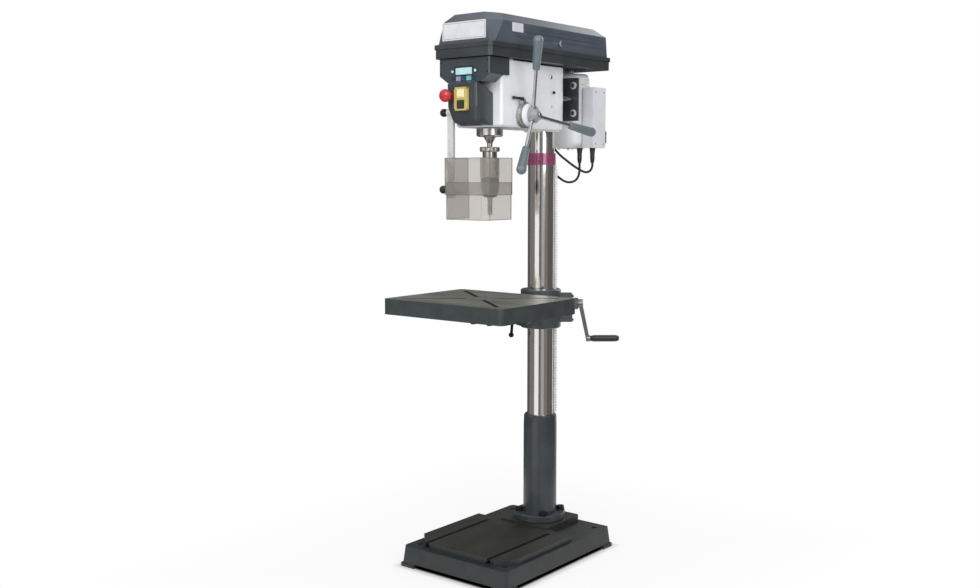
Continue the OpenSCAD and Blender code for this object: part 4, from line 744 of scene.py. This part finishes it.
def spring_cap_dressing():
    """Centre nut and three screws on the return-spring cap."""
    bm = bmesh.new()
    hex_head(bm, (-121, FEED_Y, FEED_Z), (-1, 0, 0), 17, 5.5)
    piece("spring_cap_nut", bm, "stand", gear)
    bm = bmesh.new()
    for a in (35, 155, 275):
        t = math.radians(a)
        at = (-115.6, FEED_Y + 23 * math.cos(t), FEED_Z + 23 * math.sin(t))
        pan_screw(bm, at, (-1, 0, 0), 2.6, 1.3)
    piece("spring_cap_screws", bm, "stand", chrome)


def head_ring():
    """A ring where the column enters the head, its cream colour painted warm light on the head's white
    boss.
    """
    # Painted light: the cream tint stands in for warm light falling on white paint
    cream = moulded("column_ring_painted_warm_light", ("#e0e0d0", "#e8e8da"), 0.5)
    bm = bmesh.new()
    turned_form(bm, facing((0, 0, 1444)),
                [(46.4, 6), (46.4, 0.8), (47.5, 0), (59, 0), (60.5, 1.5), (60.5, 6)], 64)
    piece("column_entry_ring", bm, "stand", cream)


def motor_dressing():
    """Bare rating plate, plate bolts with their washers, terminal-box screws and vents below."""
    bm = bmesh.new()
    wrapped_label(bm, (0, MOTOR_Y), 70.05, 200, 238, 1540, 1580)
    piece("motor_rating_plate", bm, "motor", foil)
    bm = bmesh.new()
    for x in (-66, 66):
        for z in (1510, 1604):
            turned_form(bm, facing((x, 94.95, z), (0, -1, 0)),
                        [(9.4, 0), (12.4, 0), (12.4, 1.4), (11.8, 1.9), (9.4, 1.9)], 32)
            hex_head(bm, (x, 94.95, z), (0, -1, 0), 15.8, 6.5)
    piece("motor_plate_bolts", bm, "motor", strip)
    bm = bmesh.new()
    for z in (1406, 1584):
        for y in (157, 208):
            pan_screw(bm, (117.6, y, z), (1, 0, 0), 3.3, 1.1)
    piece("terminal_screws", bm, "motor", chrome)
    bm = bmesh.new()
    vents = 18
    for k in range(vents):
        t = 2 * math.pi * k / vents
        spin = facing((0, MOTOR_Y, 1391.98), (0, 0, -1), (math.cos(t), math.sin(t), 0))
        slab(bm, spin, [(20, -1.5), (38, -2.2), (38, 2.2), (20, 1.5)], 0.25)
    piece("motor_vents", bm, "motor", black_abs)


def bracket_dressing():
    """Tilt scale with the table's pointer, gear-housing screws and shaft caps on the bracket."""
    bm = bmesh.new()
    for k in range(-45, 46, 5):
        t = math.radians(90 + k)
        radial = Vector((math.cos(t), 0, math.sin(t)))
        long = 8 if k % 15 == 0 else 4.5
        at = Vector((0, -104.6, TILT_Z)) + radial * 50.02
        slab(bm, facing(at, radial, (0, 1, 0)), bar(0, long, 0.4), 0.12)
    piece("tilt_scale", bm, "bracket", cast["head_iron_painted_white"])
    bm = bmesh.new()
    slab(bm, facing((0, -120, 888.02), (0, 0, 1), (1, 0, 0)), [(-2.6, 2), (2.6, 2), (0, 13.8)], 0.5, 0.1)
    piece("tilt_pointer", bm, "table", chrome)
    outward = Vector((math.cos(math.radians(RACK_ANGLE)), math.sin(math.radians(RACK_ANGLE)), 0))
    across = Vector((-outward.y, outward.x, 0))
    bm = bmesh.new()
    for s, z in ((-21, 799), (21, 799), (-21, 881), (21, 881)):
        cap_screw(bm, outward * 108.1 + across * s + Vector((0, 0, z)), outward, 5)
    piece("housing_screws", bm, "bracket", black_steel)
    bm = bmesh.new()
    for s in (-1, 1):
        place = facing(outward * 76.1 + across * s * 28.05 + Vector((0, 0, 820.6)), across * s)
        turned_form(bm, place, [(0, 0), (12, 0), (12, 2.5), (10.5, 4), (0, 4)], 32)
    piece("lift_shaft_caps", bm, "bracket", gear)


def guard_dressing():
    """Knurls on the guard's two black knobs."""
    for name, body, x, z, low, high in (("shield_knob_grip", "shield_knob", -92.4, 1251, 9.5, 19.5),
                                        ("guard_pivot_grip", "stand", -85.3, 1496, 11.5, 22.5)):
        bm = bmesh.new()
        knurled_band(bm, facing((x, GUARD_Y, z), (-1, 0, 0)), 11.9, low, high, 18, 1.0)
        piece(name, bm, body, black_abs, crease=20)


def folded_plan(half, front, thick):
    """Plan of a folded shield, open at the back."""
    fold, back = 18, SPINDLE_Y + 0.1
    inner = fold + thick * 0.4
    outside = [(half, back), (half, front + fold), (half - fold, front)]
    inside = [(half - thick, back), (half - thick, front + inner), (half - inner, front + thick)]
    return ([(-x, y) for x, y in outside] + outside[::-1]
            + inside + [(-x, y) for x, y in inside[::-1]])


def shield_edges():
    """Opaque dark strips on the sawn edges of the two shields: painted shade for the dark lines that light
    leaves along the edges of the tinted sheet.
    """
    # Painted shade: dark grey strips stand in for the edge lines, not a colour of the sheet
    edge = moulded("polycarbonate_edge_painted_shade", ("#6d6864", "#79746f"), 0.4)
    for name, body, half, front, z0, z1 in (
            ("upper_shield_edges", "guard", 92, -420, 1235, 1352),
            ("lower_shield_edges", "lower_shield", 88.6, -416.6, 1156, 1275)):
        bm = bmesh.new()
        plan = folded_plan(half + 0.15, front - 0.15, 3.3)
        slab(bm, Matrix.Identity(4), plan, 1.7, 0, z0 - 0.15)
        slab(bm, Matrix.Identity(4), plan, 1.7, 0, z1 - 1.55)
        for s in (-1, 1):
            slab(bm, Matrix.Translation((s * (half - 1.5), SPINDLE_Y - 0.7, 0)), bar(-1.65, 1.65, 0.8),
                 z1 - z0 - 3.2, 0, z0 + 1.6)
        piece(name, bm, body, edge, crease=20)


def lid_ribs():
    """Stiffening ribs moulded along each side of the lid: a long one, and one below it with a gap."""
    bm = bmesh.new()
    for s in (-1, 1):
        for z, y0, y1 in ((1750, -240, 150), (1734, -300, -92), (1734, -20, 170)):
            place = facing((s * 110.9, (y0 + y1) / 2, z), (s, 0, 0), (0, 1, 0))
            slab(bm, place, round_box(y1 - y0, 5, 2.4), 1.8, 1.2)
    piece("lid_ribs", bm, "lid", lid_abs, crease=60)


def lid_knob_knurl():
    """Knurled rim of the lid's latch knob."""
    bm = bmesh.new()
    knurled_band(bm, facing((111, -55, 1728), (1, 0, 0)), 8.9, 6.4, 11.8, 28, 0.5)
    piece("lid_knob_knurl", bm, "lid_latch", strip, crease=20)


def lid_side_plate():
    """A plain pale plate on the lid's side."""
    bm = bmesh.new()
    slab(bm, facing((111.05, -283, 1759), (1, 0, 0), (0, 1, 0)), round_box(58, 28, 1.5), 0.4, 0.15)
    piece("lid_square_plate", bm, "lid", foil)


# Studio, in metres
def seen_outright(tree):
    """1 for rays from the camera, from a reflection or through the shield, 0 for lighting rays."""
    rays = add(tree, "ShaderNodeLightPath").outputs
    direct = add(tree, "ShaderNodeMath", {0: rays["Is Camera Ray"], 1: rays["Is Glossy Ray"]},
                 operation="MAXIMUM")
    return add(tree, "ShaderNodeMath", {0: direct.outputs[0], 1: rays["Is Transmission Ray"]},
               operation="MAXIMUM").outputs[0]


def from_base_edge(tree):
    """Distance over the floor from the edge of the base, below zero under it."""
    coords = add(tree, "ShaderNodeTexCoord")
    parts = add(tree, "ShaderNodeSeparateXYZ", {"Vector": coords.outputs["Object"]})
    sides = []
    low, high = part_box("base_plate")
    for axis, a, b in (("X", low[0], high[0]), ("Y", low[1], high[1])):
        shifted = add(tree, "ShaderNodeMath", {0: parts.outputs[axis], 1: (a + b) / 2},
                      operation="SUBTRACT")
        size = add(tree, "ShaderNodeMath", {0: shifted.outputs[0]}, operation="ABSOLUTE")
        side = add(tree, "ShaderNodeMath", {0: size.outputs[0], 1: (b - a) / 2}, operation="SUBTRACT")
        sides.append(side.outputs[0])
    return add(tree, "ShaderNodeMath", {0: sides[0], 1: sides[1]}, operation="MAXIMUM").outputs[0]


def blank_tree(block):
    """The empty shader graph of a new world or material."""
    block.use_nodes = True
    block.node_tree.nodes.clear()
    return block.node_tree


def stage_mesh(name, bm, material, z=0.0):
    """An object of the studio, which belongs to no body of the drill."""
    mesh = bpy.data.meshes.new(name)
    bm.to_mesh(mesh)
    bm.free()
    mesh.materials.append(material)
    made = bpy.data.objects.new(name, mesh)
    made.location.z = z
    bpy.context.scene.collection.objects.link(made)
    return made


def studio_air():
    """White to the camera and in reflections, a dimmer white as light."""
    scene = bpy.context.scene
    scene.view_settings.view_transform = "Standard"
    scene.world = bpy.data.worlds.new("studio_air")
    tree = blank_tree(scene.world)
    air = add(tree, "ShaderNodeBackground", {"Color": (1, 1, 1, 1), "Strength": 0.6})
    white = add(tree, "ShaderNodeBackground", {"Color": (1, 1, 1, 1), "Strength": 1.0})
    mix = add(tree, "ShaderNodeMixShader", {0: seen_outright(tree), 1: air.outputs[0], 2: white.outputs[0]})
    add(tree, "ShaderNodeOutputWorld", {"Surface": mix.outputs[0]})


def studio_floor():
    """White floor whose glow fades near the base, so that a narrow soft shadow shows round its foot, and
    whose own colour is painted near black under the base as painted shade.
    """
    paint = bpy.data.materials.new("studio_floor_white")
    tree = blank_tree(paint)
    away = from_base_edge(tree)
    shares = []
    # Most of the glow comes back within 30 mm of the base, and the rest within 0.9 m
    for start, end, share in ((-0.002, 0.03, 0.8), (0.12, 0.9, 0.2)):
        grown = add(tree, "ShaderNodeMapRange", {"Value": away, "From Min": start, "From Max": end,
                                                 "To Max": share}, interpolation_type="SMOOTHSTEP")
        shares.append(grown.outputs["Result"])
    total = add(tree, "ShaderNodeMath", {0: shares[0], 1: shares[1]}, operation="ADD")
    glowing = add(tree, "ShaderNodeMath", {0: seen_outright(tree), 1: total.outputs[0]},
                  operation="MULTIPLY")
    # Painted shade: the floor's own colour is near black under the base, where no light of the studio
    # reaches the floor
    outside = add(tree, "ShaderNodeMapRange", {"Value": away, "From Min": -0.012, "From Max": 0.0})
    shade = add(tree, "ShaderNodeMix", {0: outside.outputs["Result"], 6: linear("#141414"),
                                        7: linear("#f2f2f2")}, data_type="RGBA")
    matt = add(tree, "ShaderNodeBsdfDiffuse", {"Color": shade.outputs[2]})
    glow = add(tree, "ShaderNodeEmission", {"Color": (1, 1, 1, 1), "Strength": 1.0})
    mix = add(tree, "ShaderNodeMixShader", {0: glowing.outputs[0], 1: matt.outputs[0], 2: glow.outputs[0]})
    add(tree, "ShaderNodeOutputMaterial", {"Surface": mix.outputs[0]})
    bm = bmesh.new()
    bmesh.ops.create_grid(bm, x_segments=1, y_segments=1, size=14)
    stage_mesh("studio_floor", bm, paint, -0.0004)


def studio_lamps():
    """Broad soft lamps from the front, the right and behind."""
    for name, at, aim, size, power in (
            ("key_lamp", (0.8, -4.2, 3.2), (0, -0.2, 1.1), (2.4, 2.4), 84),
            ("side_lamp", (3.7, -1.9, 2.6), (0, 0, 1.1), (1.8, 2.6), 50),
            ("back_lamp", (-0.5, 3.8, 3.0), (0, 0, 1.2), (2.2, 2.2), 40)):
        lamp = bpy.data.lights.new(name, "AREA")
        lamp.shape = "RECTANGLE"
        lamp.size, lamp.size_y = size
        lamp.energy = power
        holder = bpy.data.objects.new(name, lamp)
        holder.location = at
        holder.rotation_euler = (Vector(aim) - Vector(at)).to_track_quat("-Z", "Y").to_euler()
        bpy.context.scene.collection.objects.link(holder)


def dark_cards():
    """Dark studio cards round the set, seen only in reflections, which give polished metal its bands."""
    steps = 12
    for name, start, stop, low, top, shade in (
            ("card_rear", 106, 196, 0.0, 3.0, (0.1, 0.1, 0.1)),
            ("card_left", 196, 251, 0.0, 3.0, (0.2, 0.195, 0.19)),
            ("card_front", -71, -51, 0.0, 3.0, (0.15, 0.15, 0.155)),
            ("card_camera_side", -51, -24, 0.0, 3.0, (0.4, 0.4, 0.41)),
            ("card_right", -24, 6, 0.0, 3.0, (0.2, 0.19, 0.185)),
            ("card_far_right", 6, 76, 0.0, 3.0, (0.12, 0.11, 0.105)),
            ("card_high", 20, 196, 2.4, 8.0, (0.12, 0.12, 0.12))):
        paint = bpy.data.materials.new("studio_" + name)
        tree = blank_tree(paint)
        glow = add(tree, "ShaderNodeEmission", {"Color": (*shade, 1), "Strength": 1.0})
        add(tree, "ShaderNodeOutputMaterial", {"Surface": glow.outputs[0]})
        bm = bmesh.new()
        foot = low + 0.002
        inner = 5.6 if low else 0.9
        skin(bm, [[bm.verts.new(ring_point(Matrix.Identity(4), radius,
                                           math.radians(start + (stop - start) * k / steps), z))
                   for k in range(steps + 1)]
                  for radius, z in ((inner, foot), (5.4, foot), (5.4, top))], closed=False)
        card = stage_mesh(name, bm, paint)
        card.visible_camera = card.visible_diffuse = card.visible_transmission = False
        card.visible_shadow = card.visible_volume_scatter = False


cable_grommets()
belt_drive()
lid_dressing()
panel_dressing()
head_dressing()
depth_dial_marks()
chuck_knurl()
feed_dressing()
spring_cap_dressing()
head_ring()
motor_dressing()
bracket_dressing()
guard_dressing()
shield_edges()
lid_ribs()
lid_knob_knurl()
lid_side_plate()
studio_air()
studio_floor()
studio_lamps()
dark_cards()
